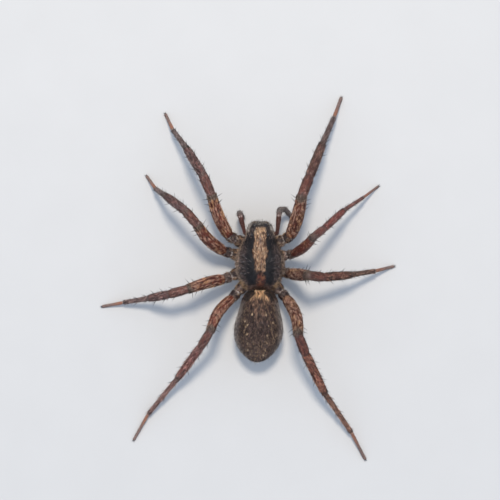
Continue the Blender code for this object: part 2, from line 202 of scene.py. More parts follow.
# How deep the skin lies under the solids, to leave room for hair: for each limb segment, then elsewhere.
COAT_DEPTH = (0.07, 0.07, 0.045, 0.06, 0.065, 0.035)
BODY_DEPTH = 0.07
PLATE_DEPTH = 0.04  # of jaws and sternum
RING_STEP = 0.11  # between the rings of a limb
LEG_SIDES, PALP_SIDES, BODY_SIDES, TRUNK_SIDES, SMALL_SIDES = 26, 22, 72, 56, 24  # points in each ring
DOME_RINGS, DOME_TIP = 6, 0.02  # rings of a round end, and the share of its thickness left at its tip
SEGMENT_END, BALL_END = 0.45, 1.0  # reach of the round end of a segment and of a ball, in half thicknesses
BALL_SHARE = 0.90  # of the thinner neighbour
VOXEL = 0.075  # of the union of the shells
SKIN_TRIANGLES = 190_000  # about, once the union is thinned
SKIN_FLOOR = 0.004  # height of the lowest point of the skin
CARAPACE_REGION, ABDOMEN_REGION, STERNUM_REGION, LEG_REGION, PALP_REGION, TAIL_REGION = range(6)
COXA, FEMUR, PATELLA, TIBIA, METATARSUS, TARSUS = range(6)
MEMBRANE = -1.0  # the share along a segment that marks the soft ball of its joint
LIMBS = [*LEG_POSES, *PALP_POSES]  # a limb's number is its place here
HIND_LIMBS = (LIMBS.index("4_left"), LIMBS.index("4_right"))

# How each leg's coat differs: hair is its cover, tan the share of pale hair on the femur, grey its
# greyness, and rust how much lighter and redder it is beyond the knee.
LegCoat = namedtuple("LegCoat", "hair tan grey rust")
LEG_COATS = {
    "1_left": LegCoat(1.0, 0.56, 0.05, 0.0),
    "1_right": LegCoat(1.1, 0.32, 0.24, 0.05),
    "2_left": LegCoat(1.0, 0.50, 0.15, 0.1),
    "2_right": LegCoat(0.17, 0.25, 0.0, 0.5),
    "3_left": LegCoat(1.0, 0.64, 0.10, 0.3),
    "3_right": LegCoat(1.25, 0.38, 0.62, 0.35),
    "4_left": LegCoat(0.85, 0.54, 0.10, 0.95),
    "4_right": LegCoat(1.15, 0.62, 0.50, 0.9),
}
PALP_COAT = LegCoat(1.0, 0.4, 0.5, 0.0)


def eye_shift():
    """The way from the body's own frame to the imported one, in mm, by the large left eye's place in both."""
    low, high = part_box("eye_large_left")
    return np.array((low + high) / 2) / MM - np.array(LARGE_EYE)


SHIFT = eye_shift()

# ---------------- small tools


def unit(vectors):
    return vectors / np.maximum(np.linalg.norm(vectors, axis=-1, keepdims=True), 1e-12)


def dot(a, b):
    return (a * b).sum(-1, keepdims=True)


def ramp(value, low, high):
    """0 below low and 1 above high, smooth between."""
    share = np.clip((value - low) / (high - low), 0, 1)
    return share * share * (3 - 2 * share)


def hump(value, middle, width):
    return np.exp(-(((value - middle) / width) ** 2))


def mix_number(a, b, share):
    return a * (1 - share) + b * share


def mix(a, b, share):
    """Colours or directions mixed, with a share for each row."""
    return mix_number(a, b, np.asarray(share)[..., None])


def layered(colour, *layers):
    """A colour with others laid over it in turn, each as (colour, share)."""
    for over, share in layers:
        colour = mix(colour, over, share)
    return colour


def highest(*values):
    result = values[0]
    for value in values[1:]:
        result = np.maximum(result, value)
    return result


def shade(red, green, blue):
    """Linear colour from display values of 0 to 255."""
    value = np.array((red, green, blue)) / 255
    return np.where(value <= 0.04045, value / 12.92, ((value + 0.055) / 1.055) ** 2.4)


def palette(**colours):
    """Colours by name, from display values of 0 to 255."""
    return SimpleNamespace(**{name: shade(*values) for name, values in colours.items()})


def curve_through(knots, at):
    """Smooth curve through (share, value) knots, with no overshoot between them."""
    x, y = np.array(knots, float).T
    slope = np.diff(y) / np.diff(x)
    before, after = slope[:-1], slope[1:]
    inner = np.where(before * after > 0, 2 * before * after / (before + after + 1e-12), 0)
    tangent = np.concatenate([slope[:1], inner, slope[-1:]])
    at = np.clip(at, x[0], x[-1])
    k = np.clip(np.searchsorted(x, at, side="right") - 1, 0, len(slope) - 1)
    width = x[k + 1] - x[k]
    t = (at - x[k]) / width
    a, b = (1 + 2 * t) * (1 - t) ** 2, t * (1 - t) ** 2
    c, d = t * t * (3 - 2 * t), t * t * (t - 1)
    return a * y[k] + b * width * tangent[k] + c * y[k + 1] + d * width * tangent[k + 1]


HASH_AXES = np.array((73856093, 19349663, 83492791))
HASH_STEPS = ((13, 1274126177), (15, 668265263))


def scrambled(key, shift, factor):
    return (key ^ (key >> shift)) * factor & 0x7FFFFFFF


def noise(points, size, seed):
    """Smooth noise of 0 to 1, with features of about this size. size may be one number for each axis."""
    spot = np.asarray(points, float) / size + seed * 17.31
    cell = np.floor(spot).astype(np.int64)
    share = spot - cell
    share = share * share * (3 - 2 * share)
    total = np.zeros(len(spot))
    for corner in itertools.product((0, 1), repeat=3):
        key = (cell + corner) @ HASH_AXES + seed * 7919
        for step in HASH_STEPS:
            key = scrambled(key, *step)
        weight = np.where(corner, share, 1 - share).prod(axis=1)
        total += weight * (key & 0xFFFFF) / 0xFFFFF
    return total


def direction(heading, pitch, side):
    """Unit vector for a heading out from straight ahead (-Y) to a side (+1 left, -1 right) and a pitch."""
    turn, lift = math.radians(heading), math.radians(pitch)
    flat = math.cos(lift)
    return np.array((side * flat * math.sin(turn), -flat * math.cos(turn), math.sin(lift)))


def mirrored(place, side):
    return np.array((side * place[0], place[1], place[2]))


# ---------------- shells: the closed forms behind the skin

# What each point of a shell is: its limb and segment, the share and the mm along that segment, the angle
# round it, and its half thickness.
TRAITS = dict(limb=-1, segment=-1, along=0, reach=0, around=0, half=1)
shells = []


def grid_faces(rings, sides):
    i, j = (part.ravel() for part in np.mgrid[0 : rings - 1, 0:sides])
    after = (j + 1) % sides
    a, b, c, d = i * sides + j, i * sides + after, (i + 1) * sides + after, (i + 1) * sides + j
    return np.concatenate([np.stack([a, b, c], 1), np.stack([a, c, d], 1)])


def closed_form(grid, ends=None):
    """Points and triangles of rings, grid[ring, point], with a fan from a middle point at either end."""
    rings, sides = grid.shape[:2]
    first, last = (grid[0].mean(0), grid[-1].mean(0)) if ends is None else ends
    points = np.concatenate([grid.reshape(-1, 3), first[None], last[None]])
    k, end = np.arange(sides), (rings - 1) * sides
    after = (k + 1) % sides
    first_fan = np.stack([np.full(sides, rings * sides), after, k], 1)
    last_fan = np.stack([np.full(sides, rings * sides + 1), end + k, end + after], 1)
    return points, np.concatenate([grid_faces(rings, sides), first_fan, last_fan])


def keep_shell(grid, region, lie=(0.0, 1.0, 0.0), **traits):
    """Keeps a closed form through rings, grid[ring, point], with what it is at each point.

    Each trait is one number, one for each ring as a column, or one for each point. lie is how hair lies.
    """
    rings, sides = grid.shape[:2]

    def spread(values, *width):
        table = np.broadcast_to(np.asarray(values, float), (rings, sides, *width)).reshape(-1, *width)
        return np.concatenate([table, table[:1], table[-1:]])

    shell = {name: spread(traits.get(name, default)) for name, default in TRAITS.items()}
    shell["region"] = spread(region)
    shell["lie"] = spread(lie, 3)
    shell["points"], shell["faces"] = closed_form(grid)
    shells.append(shell)


def domed(path, half, reach):
    """A path and its half thicknesses with a round end at either end, and the points in each end."""
    turns = np.linspace(0, math.pi / 2, DOME_RINGS + 1)[1:]
    close = np.cos(turns) + DOME_TIP
    first, last = unit(path[0] - path[1]), unit(path[-1] - path[-2])
    before = path[0] + first * (half[0] * reach * np.sin(turns))[:, None]
    after = path[-1] + last * (half[-1] * reach * np.sin(turns))[:, None]
    path = np.concatenate([before[::-1], path, after])
    half = np.concatenate([(half[0] * close)[::-1], half, half[-1] * close])
    return path, half, DOME_RINGS


def tube_frames(path, across):
    """For each point of a path: the way along it, and the two directions across it."""
    along = unit(np.gradient(path, axis=0))
    side, sides = np.array(across, float), []
    for way in along:
        side = side - way * side.dot(way)
        side = side / np.linalg.norm(side)
        sides.append(side)
    sides = np.array(sides)
    return along, sides, np.cross(along, sides)


def tube(path, half, across, sides):
    """Rings round a path, the angle of each point from the first direction across, and the way along."""
    along, side, up = tube_frames(path, across)
    turn = math.tau * (np.arange(sides) + 0.5) / sides
    half = np.asarray(half)[:, None, None]
    ring = side[:, None] * np.cos(turn)[None, :, None] + up[:, None] * np.sin(turn)[None, :, None]
    return path[:, None] + ring * half, turn, along


def limb_joints(start, lengths, heading, pitch, side, floor=None):
    """Joints of a limb. A segment with no pitch of its own comes down to the floor's height."""
    joints = [np.array(start, float)]
    for i, length in enumerate(lengths):
        lift = pitch[i] if i < len(pitch) else math.degrees(math.asin((floor - joints[-1][2]) / length))
        joints.append(joints[-1] + direction(heading[i], lift, side) * length)
    return joints


def leg_course(key):
    """A leg's joints from coxa to pad, its segments' scales, its bends and its sideways direction."""
    pair, side = int(key[0]), SIDES[key[2:]]
    pose = LEG_POSES[key]
    lengths = [*(length * pose.reach for length in LEG_LENGTHS[pair]), PAD_LENGTH]
    headings = (*pose.heading, pose.heading[-1])
    hip = (side * pose.hip[0], pose.hip[1], HIP_HEIGHT)
    joints = limb_joints(hip, lengths, headings, pose.pitch, side, FOOT_CENTRE)
    across = direction(pose.heading[0] + 90, 0, side)
    bends = {FEMUR: across * pose.bow + np.array((0, 0, FEMUR_ARCH))}
    scales = LEG_GIRTH[pair] * np.array((min(pose.stout, 1.0), *[pose.stout] * 5))
    return [mirrored(COXA_BASES[pair], side), *joints], scales, bends, across


def palp_course(key):
    side, pose = SIDES[key], PALP_POSES[key]
    hip = (side * pose.hip_out, PALP_HIP_BACK, PALP_HIP_HEIGHT)
    joints = limb_joints(hip, PALP_LENGTHS, pose.heading, pose.pitch, side)
    across = direction(pose.heading[0] + 90, 0, side)
    return [mirrored(PALP_LOBE, side), *joints], np.ones(len(PALP_PROFILES)), {}, across


def segment_path(start, end, bend=np.zeros(3), step=RING_STEP):
    share = np.linspace(0, 1, max(6, round(np.linalg.norm(end - start) / step)))
    return start + (end - start) * share[:, None] + bend * np.sin(math.pi * share)[:, None], share


def limb_segments(key):
    """Each segment of a limb, as (number, path, share along it, half thickness of the skin)."""
    is_leg = key in LEG_POSES
    joints, scales, bends, across = leg_course(key) if is_leg else palp_course(key)
    found = []
    for number, profile in enumerate(LEG_PROFILES if is_leg else PALP_PROFILES):
        path, share = segment_path(joints[number], joints[number + 1], bends.get(number, np.zeros(3)))
        half = curve_through(profile, share) * scales[number] - COAT_DEPTH[number]
        if is_leg and number == TARSUS:
            pad, _ = segment_path(joints[number + 1], joints[number + 2])
            path = np.concatenate([path, pad[1:]])
            half = np.concatenate([half, np.full(len(pad) - 1, half[-1])])
            share = np.linspace(0, 1, len(path))
            path[:, 2] = np.convolve(np.pad(path[:, 2], 2, mode="edge"), np.full(5, 0.2), mode="valid")
        found.append((number, path, share, half))
    return found, across


def rims(number, share, length):
    """How a segment's thickness swells and narrows near its ends, in and out of its joints."""
    swell = 1 + 0.05 * hump(share, 1 - 0.20 / length, 0.16 / length)
    swell = swell - 0.06 * hump(share, 0, 0.20 / length)
    if number == COXA:
        # The trochanter is parted from the coxa by a groove, and has a rim of its own.
        swell = swell - 0.13 * hump(share, 0.69, 0.035)
        swell = swell + 0.05 * hump(share, 0.64, 0.04) + 0.04 * hump(share, 0.77, 0.04)
    return swell


def limb_shells(key):
    """One rounded form for each segment, and a soft ball in each joint."""
    region, sides = (LEG_REGION, LEG_SIDES) if key in LEG_POSES else (PALP_REGION, PALP_SIDES)
    segments, across = limb_segments(key)
    limb = LIMBS.index(key)
    for number, path, share, half in segments:
        length = np.linalg.norm(path[-1] - path[0])
        path, girth, dome = domed(path, half * rims(number, share, length), SEGMENT_END)
        steps = 0.01 * np.arange(1, dome + 1)
        share = np.concatenate([-steps[::-1], share, 1 + steps])[:, None]
        grid, turn, along = tube(path, girth, across, sides)
        traits = dict(along=share, reach=share * length, half=np.pad(half, dome, mode="edge")[:, None])
        keep_shell(grid, region, along[:, None], limb=limb, segment=number, around=turn[None], **traits)
    for (_, path, _, half), (number, _, _, next_half) in zip(segments, segments[1:]):
        ball = min(half[-1], next_half[0]) * BALL_SHARE
        stub = path[-1] + unit(path[-1] - path[-2]) * np.linspace(-0.05, 0.05, 3)[:, None]
        stub, girth, _ = domed(stub, np.full(3, ball), BALL_END)
        grid, turn, along = tube(stub, girth, across, sides)
        traits = dict(along=MEMBRANE, half=ball)
        keep_shell(grid, region, along[:, None], limb=limb, segment=number, around=turn[None], **traits)


def carapace_relief(x, y):
    """Depth of the grooves on top of the carapace: the fovea, and the grooves that spread from it."""
    depth = FOVEA_DEPTH * hump(x, 0, FOVEA_HALF) * ramp(y, 1.1, 1.5) * (1 - ramp(y, 2.2, 2.6))
    start = np.array(FOVEA)
    out, back = np.abs(x) - start[0], y - start[1]
    for end_x, end_y, deep, width in CARAPACE_GROOVES:
        way = np.array((end_x, end_y)) - start
        length = np.linalg.norm(way)
        way = way / length
        reach = out * way[0] + back * way[1]
        off = out * way[1] - back * way[0]
        inside = ramp(reach, 0.0, 0.6) * (1 - ramp(reach, length * 0.75, length))
        depth = depth + deep * hump(off, 0, width) * inside
    return depth


def carapace_rings():
    """Rings of the carapace: an arched top, and a slightly hollow underside with its edge turned in."""
    rows = np.array(CARAPACE)
    stretches = ((-6.05 + BODY_DEPTH, -5.4, 12), (-5.3, 3.4, 84), (3.45, 4.30, 12))
    y = np.concatenate([np.linspace(*stretch) for stretch in stretches])
    width, top, under = (curve_through(rows[:, (0, column)], y) for column in (1, 2, 3))
    width, top, under = width - BODY_DEPTH, top - BODY_DEPTH, under + 0.02
    turn = math.pi * np.arange(BODY_SIDES + 1) / BODY_SIDES
    cos, sin = np.cos(turn), np.sin(turn)
    rise = np.abs(sin) ** SHOULDER
    x = width[:, None] * (np.abs(cos) ** SHOULDER * np.sign(cos))
    z = under[:, None] + (top - under)[:, None] * rise
    z = z - carapace_relief(x, y[:, None]) * np.clip(rise, 0, 1) ** 2
    dome = np.stack([x, np.broadcast_to(y[:, None], x.shape), z], -1)
    back = np.linspace(-1, 1, 26)[1:-1]
    floor_x = width[:, None] * back * UNDERSIDE_WIDTH
    floor_z = np.broadcast_to((under + UNDERSIDE_HOLLOW)[:, None], floor_x.shape)
    floor_z = floor_z - UNDERSIDE_LIP * np.abs(back) ** 6
    floor = np.stack([floor_x, np.broadcast_to(y[:, None], floor_x.shape), floor_z], -1)
    grid = np.concatenate([dome, floor], 1)
    front = grid[0].mean(0)
    shares = np.array((0.35, 0.75))[:, None, None]
    noses = front + (grid[0] - front) * shares - np.array((0, 0.05, 0)) * (1 - shares)
    return np.concatenate([noses, grid])


def carapace_shells():
    """The carapace, the roll of its brow and a rim round each eye."""
    grid = carapace_rings()
    keep_shell(grid, CARAPACE_REGION, lie=carapace_lie(grid))
    path, _ = segment_path(mirrored(BROW_END, -1), np.array(BROW_END))
    path, half, _ = domed(path, np.full(len(path), BROW_HALF), 0.5)
    keep_shell(tube(path, half, (0, 1, 0), SMALL_SIDES)[0], CARAPACE_REGION, lie=(0.0, -1.0, -0.2))
    for _, centre, radius, looks in EYES:
        for side in SIDES.values():
            way = unit(mirrored(looks, side))
            middle = mirrored(centre, side) - way * radius * 0.55
            stub = middle + way * np.array((-0.02, 0.0, 0.02))[:, None]
            path, half, _ = domed(stub, np.full(3, radius * 1.08), BALL_END)
            across = (0, 0, 1) if abs(way[2]) < 0.9 else (1, 0, 0)
            rim = tube(path, half, across, SMALL_SIDES)[0]
            keep_shell(rim, CARAPACE_REGION, segment=1, lie=carapace_lie(rim))


def carapace_lie(points):
    """Hair lies forward over the head and outward to the edges behind it."""
    x, y = points[..., 0], points[..., 1]
    out = np.stack([x * 0.9, (y - 1.2) * 0.6, -np.abs(x) * 0.35], -1)
    ahead = np.stack([x * 0.15, np.full_like(x, -1.0), np.zeros_like(x)], -1)
    share = np.clip(ramp(-y, 2.2, 4.5) + (1 - ramp(np.abs(x), 0.8, 1.5)) * 0.9, 0, 1)
    return unit(mix(unit(out), unit(ahead), share))


def oval_grid(centres, half, above, below, sides):
    turn = math.tau * (np.arange(sides) + 0.5) / sides
    height = np.where(np.sin(turn) > 0, above[:, None], below[:, None]) * np.sin(turn)
    x = half[:, None] * np.cos(turn)
    return centres[:, None] + np.stack([x, np.zeros_like(x), height], -1), turn


def abdomen_shell():
    length = ABDOMEN_PROFILE[-1][0]
    distance = np.concatenate([np.linspace(0, 1.2, 22), np.linspace(1.3, length, 92)])
    centres = ABDOMEN_FRONT + (ABDOMEN_REAR - ABDOMEN_FRONT) * (distance / length)[:, None]
    half = curve_through(ABDOMEN_PROFILE, distance) - BODY_DEPTH
    grid, turn = oval_grid(centres, half, half * ABDOMEN_TALL, half * ABDOMEN_DEEP, BODY_SIDES)
    x, y = grid[..., 0], grid[..., 1]
    low, high = (np.clip(sign * np.sin(turn), 0, 1)[None, :] for sign in (-1, 1))
    furrow = FURROW_DEPTH * hump(y, FURROW_Y - 0.08 * x * x, 0.16) * low**2
    covers = LUNG_COVER_RISE * hump(np.abs(x - 0.2), LUNG_COVER_OUT, 0.75)
    grid[..., 2] += furrow - covers * hump(y, LUNG_COVER_Y, 0.65) * low**2
    for out, back in DIMPLES:
        far = np.hypot(np.abs(x - ABDOMEN_MIDDLE) - out, y - back)
        grid[..., 2] -= DIMPLE_DEPTH * hump(far, 0, DIMPLE_SIZE) * high
    rear = grid[-1].mean(0)
    shares = np.array((0.85, 0.6, 0.3))[:, None, None]
    tail = rear + (grid[-1] - rear) * shares + np.array((0, 0.14, 0)) * (1 - shares**2)
    grid = np.concatenate([grid, tail])
    x, _, z = np.moveaxis(grid, -1, 0)
    lie = np.stack([(x - 0.2) * 0.10, np.ones_like(x), (z - 5) * -0.05], -1)
    along = np.concatenate([distance / length, np.ones(len(tail))])[:, None]
    keep_shell(grid, ABDOMEN_REGION, unit(lie), segment=0, along=along, around=turn[None])


def plain_tube_shell(start, end, half, region, segment=0):
    path, share = segment_path(np.array(start, float), np.array(end, float), step=0.08)
    path, girth, dome = domed(path, np.interp(share, (0, 1), half), 0.6)
    grid, turn, _ = tube(path, girth, (1, 0, 0), SMALL_SIDES)
    along = np.pad(share, dome, mode="edge")[:, None]
    keep_shell(grid, region, segment=segment, along=along, around=turn[None])


def flat_form(outline, rings, top, bottom, inset=0.0):
    """Centres, half widths and half heights of a flat form's rings, from its outline seen from above."""
    y = np.linspace(outline[0][0], outline[-1][0], rings)
    centres = np.stack([np.zeros_like(y), y, np.full_like(y, (top + bottom) / 2)], 1)
    return centres, curve_through(outline, y) - inset, np.full_like(y, (top - bottom) / 2 - inset)


def trunk_shells():
    """The middle of the body, the sternum, the waist, the spinnerets and the anal tubercle."""
    centres, half, tall = flat_form(TRUNK, 70, TRUNK_TOP, TRUNK_BOTTOM)
    tall = np.minimum(tall, half * 1.1)
    keep_shell(oval_grid(centres, half, tall, tall, TRUNK_SIDES)[0], STERNUM_REGION, segment=1)
    centres, half, tall = flat_form(STERNUM, 60, STERNUM_TOP, STERNUM_BOTTOM, PLATE_DEPTH)
    grid, turn = oval_grid(centres, half, tall, tall, TRUNK_SIDES)
    # A groove parts the lip from the sternum.
    grid[..., 2] += 0.15 * hump(grid[..., 1], -2.15, 0.10) * np.clip(-np.sin(turn), 0, 1)[None, :]
    keep_shell(grid, STERNUM_REGION, segment=0)
    plain_tube_shell(*PEDICEL, PEDICEL_GIRTH, STERNUM_REGION, segment=2)
    for (out, _, lift), length, girth in SPINNERETS:
        for side in SIDES.values():
            start = SPINNERET_ROOT + np.array((side * out, 0, lift))
            end = start + direction(180, SPINNERET_PITCH, 1) * (length - girth * 0.5)
            plain_tube_shell(start, end, (girth, girth * 0.82), TAIL_REGION)
    tubercle = (ANAL_TUBERCLE, ANAL_TUBERCLE + TUBERCLE_REACH)
    plain_tube_shell(*tubercle, TUBERCLE_GIRTH, TAIL_REGION, segment=1)


# ---------------- one skin


def new_mesh(name, points, faces):
    mesh = bpy.data.meshes.new(name)
    mesh.vertices.add(len(points))
    mesh.vertices.foreach_set("co", np.asarray(points, np.float32).ravel())
    corners = faces.shape[1]
    mesh.loops.add(faces.size)
    mesh.loops.foreach_set("vertex_index", np.asarray(faces, np.int32).ravel())
    mesh.polygons.add(len(faces))
    mesh.polygons.foreach_set("loop_start", np.arange(0, faces.size, corners, dtype=np.int32))
    mesh.update(calc_edges=True)
    mesh.validate()
    mesh.shade_smooth()
    return mesh


def placed(name, data):
    """A new object in the scene."""
    made = bpy.data.objects.new(name, data)
    bpy.context.scene.collection.objects.link(made)
    return made


def read_rows(collection, name, kind=np.float32):
    values = np.empty(len(collection) * 3, kind)
    collection.foreach_get(name, values)
    return values.reshape(-1, 3)


def applied(piece):
    """A piece's mesh with its modifiers applied."""
    graph = bpy.context.evaluated_depsgraph_get()
    return bpy.data.meshes.new_from_object(piece.evaluated_get(graph))


def union_of_shells():
    """The shells made one closed surface, in mm: points, normals and triangles."""
    starts = np.cumsum([0, *(len(shell["points"]) for shell in shells)])
    points = np.concatenate([shell["points"] for shell in shells])
    faces = np.concatenate([shell["faces"] + start for shell, start in zip(shells, starts)])
    draft = placed("draft", new_mesh("draft", points, faces))
    remesh = draft.modifiers.new("union", "REMESH")
    remesh.mode = "VOXEL"
    remesh.voxel_size = VOXEL
    smooth = draft.modifiers.new("smooth", "SMOOTH")
    smooth.factor = 0.5
    smooth.iterations = 3
    fine = applied(draft)
    draft.modifiers.clear()
    draft.data = fine
    fine.calc_loop_triangles()
    thin = draft.modifiers.new("thin", "DECIMATE")
    thin.ratio = min(1.0, SKIN_TRIANGLES / len(fine.loop_triangles))
    skin = applied(draft)
    bpy.data.objects.remove(draft)
    points = read_rows(skin.vertices, "co")
    points[:, 2] = np.maximum(points[:, 2], SKIN_FLOOR)
    skin.vertices.foreach_set("co", points.ravel())
    skin.update()
    normals = read_rows(skin.vertex_normals, "vector")
    skin.calc_loop_triangles()
    faces = read_rows(skin.loop_triangles, "vertices", np.int32)
    return points.astype(float), normals.astype(float), faces


def without_doubles(faces):
    """Triangles with only the last kept of any that lie back to back on the same three points."""
    from_end = np.unique(np.sort(faces, 1)[::-1], axis=0, return_index=True)[1]
    return faces[np.sort(len(faces) - 1 - from_end)]


def describe(points):
    """What each point of the skin is, from the nearest point of the shells that it was made from."""
    source = np.concatenate([shell["points"] for shell in shells])
    tree = KDTree(len(source))
    for index, point in enumerate(source):
        tree.insert(point, index)
    tree.balance()
    nearest = np.array([tree.find(point)[1] for point in points])
    names = ("region", "lie", *TRAITS)
    return {name: np.concatenate([shell[name] for shell in shells])[nearest] for name in names}


# ---------------- markings, the same for skin and coat

TONE = palette(
    red_skin=(138, 66, 48), dark_red=(84, 38, 33), gold=(206, 160, 118), rose_tan=(198, 158, 138),
    tan=(190, 158, 128), cream=(232, 214, 190), grey_hair=(142, 132, 120), dark_hair=(56, 42, 39),
    brown=(92, 66, 54), joint_pale=(186, 168, 158),
)


def canvas(count):
    """What is painted at each place: the skin, pale and dark hair, the pale share, cover and gloss."""
    return dict(
        skin=np.tile(TONE.brown, (count, 1)),
        pale=np.tile(TONE.tan, (count, 1)),
        dark=np.tile(TONE.dark_hair, (count, 1)),
        share=np.full(count, 0.3),
        cover=np.ones(count),
        gloss=np.full(count, 0.2),
    )


def specks(points, spacing, size, seed):
    """1 at scattered small spots about this far apart, and 0 between them."""
    spot = np.asarray(points, float) / spacing + seed * 5.77
    cell = np.floor(spot).astype(np.int64)
    nearest = np.full(len(spot), 9.0)
    for step in itertools.product((-1, 0, 1), repeat=3):
        key = (cell + step) @ HASH_AXES + seed * 6007
        centre = cell + step + 0.5
        for axis in range(3):
            key = scrambled(key, *HASH_STEPS[0])
            centre[:, axis] += 0.8 * ((key & 0xFFFF) / 0xFFFF - 0.5)
        nearest = np.minimum(nearest, np.linalg.norm(spot - centre, axis=1))
    return 1 - ramp(nearest * spacing, size * 0.6, size)


def blots(x, y, marks):
    """1 inside small oval marks, each as (x, y, half width, half length)."""
    found = np.zeros(len(x))
    for at_x, at_y, half_x, half_y in marks:
        far = np.hypot((x - at_x) / half_x, (y - at_y) / half_y)
        found = np.maximum(found, 1 - ramp(far, 0.7, 1.25))
    return found


# Marks in the pale band of the carapace, as (x, y, half width, half length): dark ones, then grey ones.
BAND_DARK = (
    (0.72, -2.3, 0.10, 0.32), (-0.70, -2.85, 0.26, 0.48), (0.30, 1.55, 0.30, 0.22),
    (-0.30, 1.75, 0.25, 0.20),
)
BAND_GREY = ((-0.08, -3.25, 0.16, 0.75), (0.02, -5.75, 0.50, 0.28), (-0.15, 0.20, 0.10, 0.50))
# Half width of the pale band, as (y, half width).
BAND = (
    (-6.2, 0.72), (-5.5, 0.80), (-4.5, 0.88), (-3.4, 0.88), (-2.1, 1.10), (-1.0, 1.06), (-0.4, 0.90),
    (1.4, 0.80), (2.0, 0.66),
)
# The pale grey of these lines is partly a painted glint of reflected light.
RAYS = (-42.0, -27.0, -10.0, 12.0)  # degrees, of the pale lines of hair that spread from RAYS_Y
RAYS_Y = 1.3
RED_PATCH, RED_PATCH_HALF = (-0.06, 2.72), (0.70, 1.22)  # behind the band


def carapace_zones(place):
    """The parts and the grain of the carapace's pattern, each 0 to 1, and how far left each place is. The
    pale rays are partly a painted glint.
    """
    x, y, z = place.T
    out = np.abs(x)
    edge = noise(place, (0.13, 0.18, 0.2), 3) + noise(place, (0.4, 0.5, 0.4), 33) - 1.0
    inside = 1 - ramp(out - curve_through(BAND, y) - edge * 0.34, -0.06, 0.06)
    band = inside * ramp(y, -5.55, -5.25) * (1 - ramp(y + edge * 0.5, 1.45, 1.75)) * ramp(z, 6.4, 6.9)
    red_far = np.hypot((x - RED_PATCH[0]) / RED_PATCH_HALF[0], (y - RED_PATCH[1]) / RED_PATCH_HALF[1])
    # Pale lines of hair spread from the fovea. Their pale grey is partly a painted glint of light on the
    # hairs.
    far, turn = np.hypot(out, y - RAYS_Y), np.degrees(np.arctan2(y - RAYS_Y, out))
    rays = sum(hump(turn, angle + edge * 5, 1.6) for angle in RAYS)
    rays = rays * ramp(far, 1.5, 2.2) * (1 - ramp(far, 3.4, 4.1))
    reach = out / curve_through(np.array(CARAPACE)[:, :2], y)
    rim = ramp(reach, 0.64, 0.82) * ramp(-y, 4.2, 5.0)
    brow = np.maximum(ramp(-y, 5.60, 5.85), rim) * (1 - band)
    around_eye = 1 - ramp(np.hypot(out - LARGE_EYE[0], y - LARGE_EYE[1]), 0.34, 0.52)
    behind = ramp(y, -2.6, 0.0)
    outer = ramp(reach, 0.50, 0.74) * ramp(y, -3.4, -1.6)
    grain = noise(place, 0.15, 23)
    far, turn = np.hypot(x, y - RAYS_Y), np.arctan2(y - RAYS_Y, x)
    radial = noise(np.stack([turn * far / 0.11, far / 0.40, far * 0], 1), 1.0, 22)
    return SimpleNamespace(
        band=band,
        beside_band=1 - band,
        red=1 - ramp(red_far + edge * 0.5, 0.62, 1.14),
        rays=rays * (0.25 + 0.75 * ramp(noise(place, 0.12, 21), 0.35, 0.6)),
        outer=outer,
        brow=brow * (1 - 0.55 * around_eye),
        margin=ramp(reach + 0.10 * edge, 0.85 - 0.04 * behind, 0.96 - 0.05 * behind),
        behind=behind,
        corner=ramp(y, 2.4, 3.3) * ramp(reach + 0.12 * edge, 0.62, 0.80),
        ahead=ramp(-y, 3.2, 4.0),
        front=1 - ramp(y, -4.6, -2.6),
        rear=ramp(y, 3.35, 3.85),
        dark_marks=blots(x, y, BAND_DARK),
        grey_marks=blots(x, y, BAND_GREY),
        fine=noise(place, 0.085, 4),
        strokes=noise(place, (0.10, 0.26, 0.2), 5),
        grain=grain,
        mottle=outer * ramp(0.6 * radial + 0.4 * grain, 0.42, 0.60),
        left=np.tanh(x),
    )


# The pale grey of the rays' hair is partly a painted glint of reflected light.
CARAPACE_TONE = palette(
    shell=(34, 33, 37), shell_stroke=(26, 24, 26), mottle=(98, 80, 78), rim_light=(132, 112, 96),
    rim_dark=(62, 52, 48), bed_dark=(78, 56, 46), bed_light=(166, 134, 108), red=(110, 60, 45),
    red_light=(146, 98, 70), red_dark=(42, 28, 27), brow=(110, 104, 98), mark=(62, 46, 44),
    grey_mark=(136, 118, 116),
    gold_rear=(190, 150, 118), gold_front=(224, 186, 148), grey_hair=(168, 150, 148),
    margin_hair=(198, 172, 152), corner_hair=(214, 178, 140), brow_hair=(158, 152, 147),
    brow_white=(200, 194, 188), side_hair=(132, 116, 110), ray_hair=(150, 146, 148),
    red_hair=(178, 126, 90), black=(32, 31, 35), black_fine=(23, 22, 24), band_dark=(92, 64, 50),
    rear_dark=(96, 66, 52), outer_dark=(66, 54, 52), red_hair_dark=(80, 44, 36),
)


def carapace_skin(zone):
    tone = CARAPACE_TONE
    red = mix(tone.red, tone.red_light, ramp(zone.fine, 0.60, 0.72))
    return layered(
        tone.shell,
        (tone.shell_stroke, zone.strokes),
        (tone.mottle, 0.80 * zone.mottle),
        (mix(tone.rim_light, tone.rim_dark, zone.grain), zone.margin * (0.3 + 0.7 * zone.behind)),
        (mix(tone.bed_dark, tone.bed_light, ramp(zone.strokes, 0.38, 0.58)), zone.band),
        (mix(red, tone.red_dark, ramp(zone.grain, 0.40, 0.54)), zone.red),
        (tone.brow, zone.brow * 0.8),
        (tone.mark, zone.dark_marks * 0.8),
        (tone.grey_mark, zone.grey_marks * 0.7 * zone.band),
    )


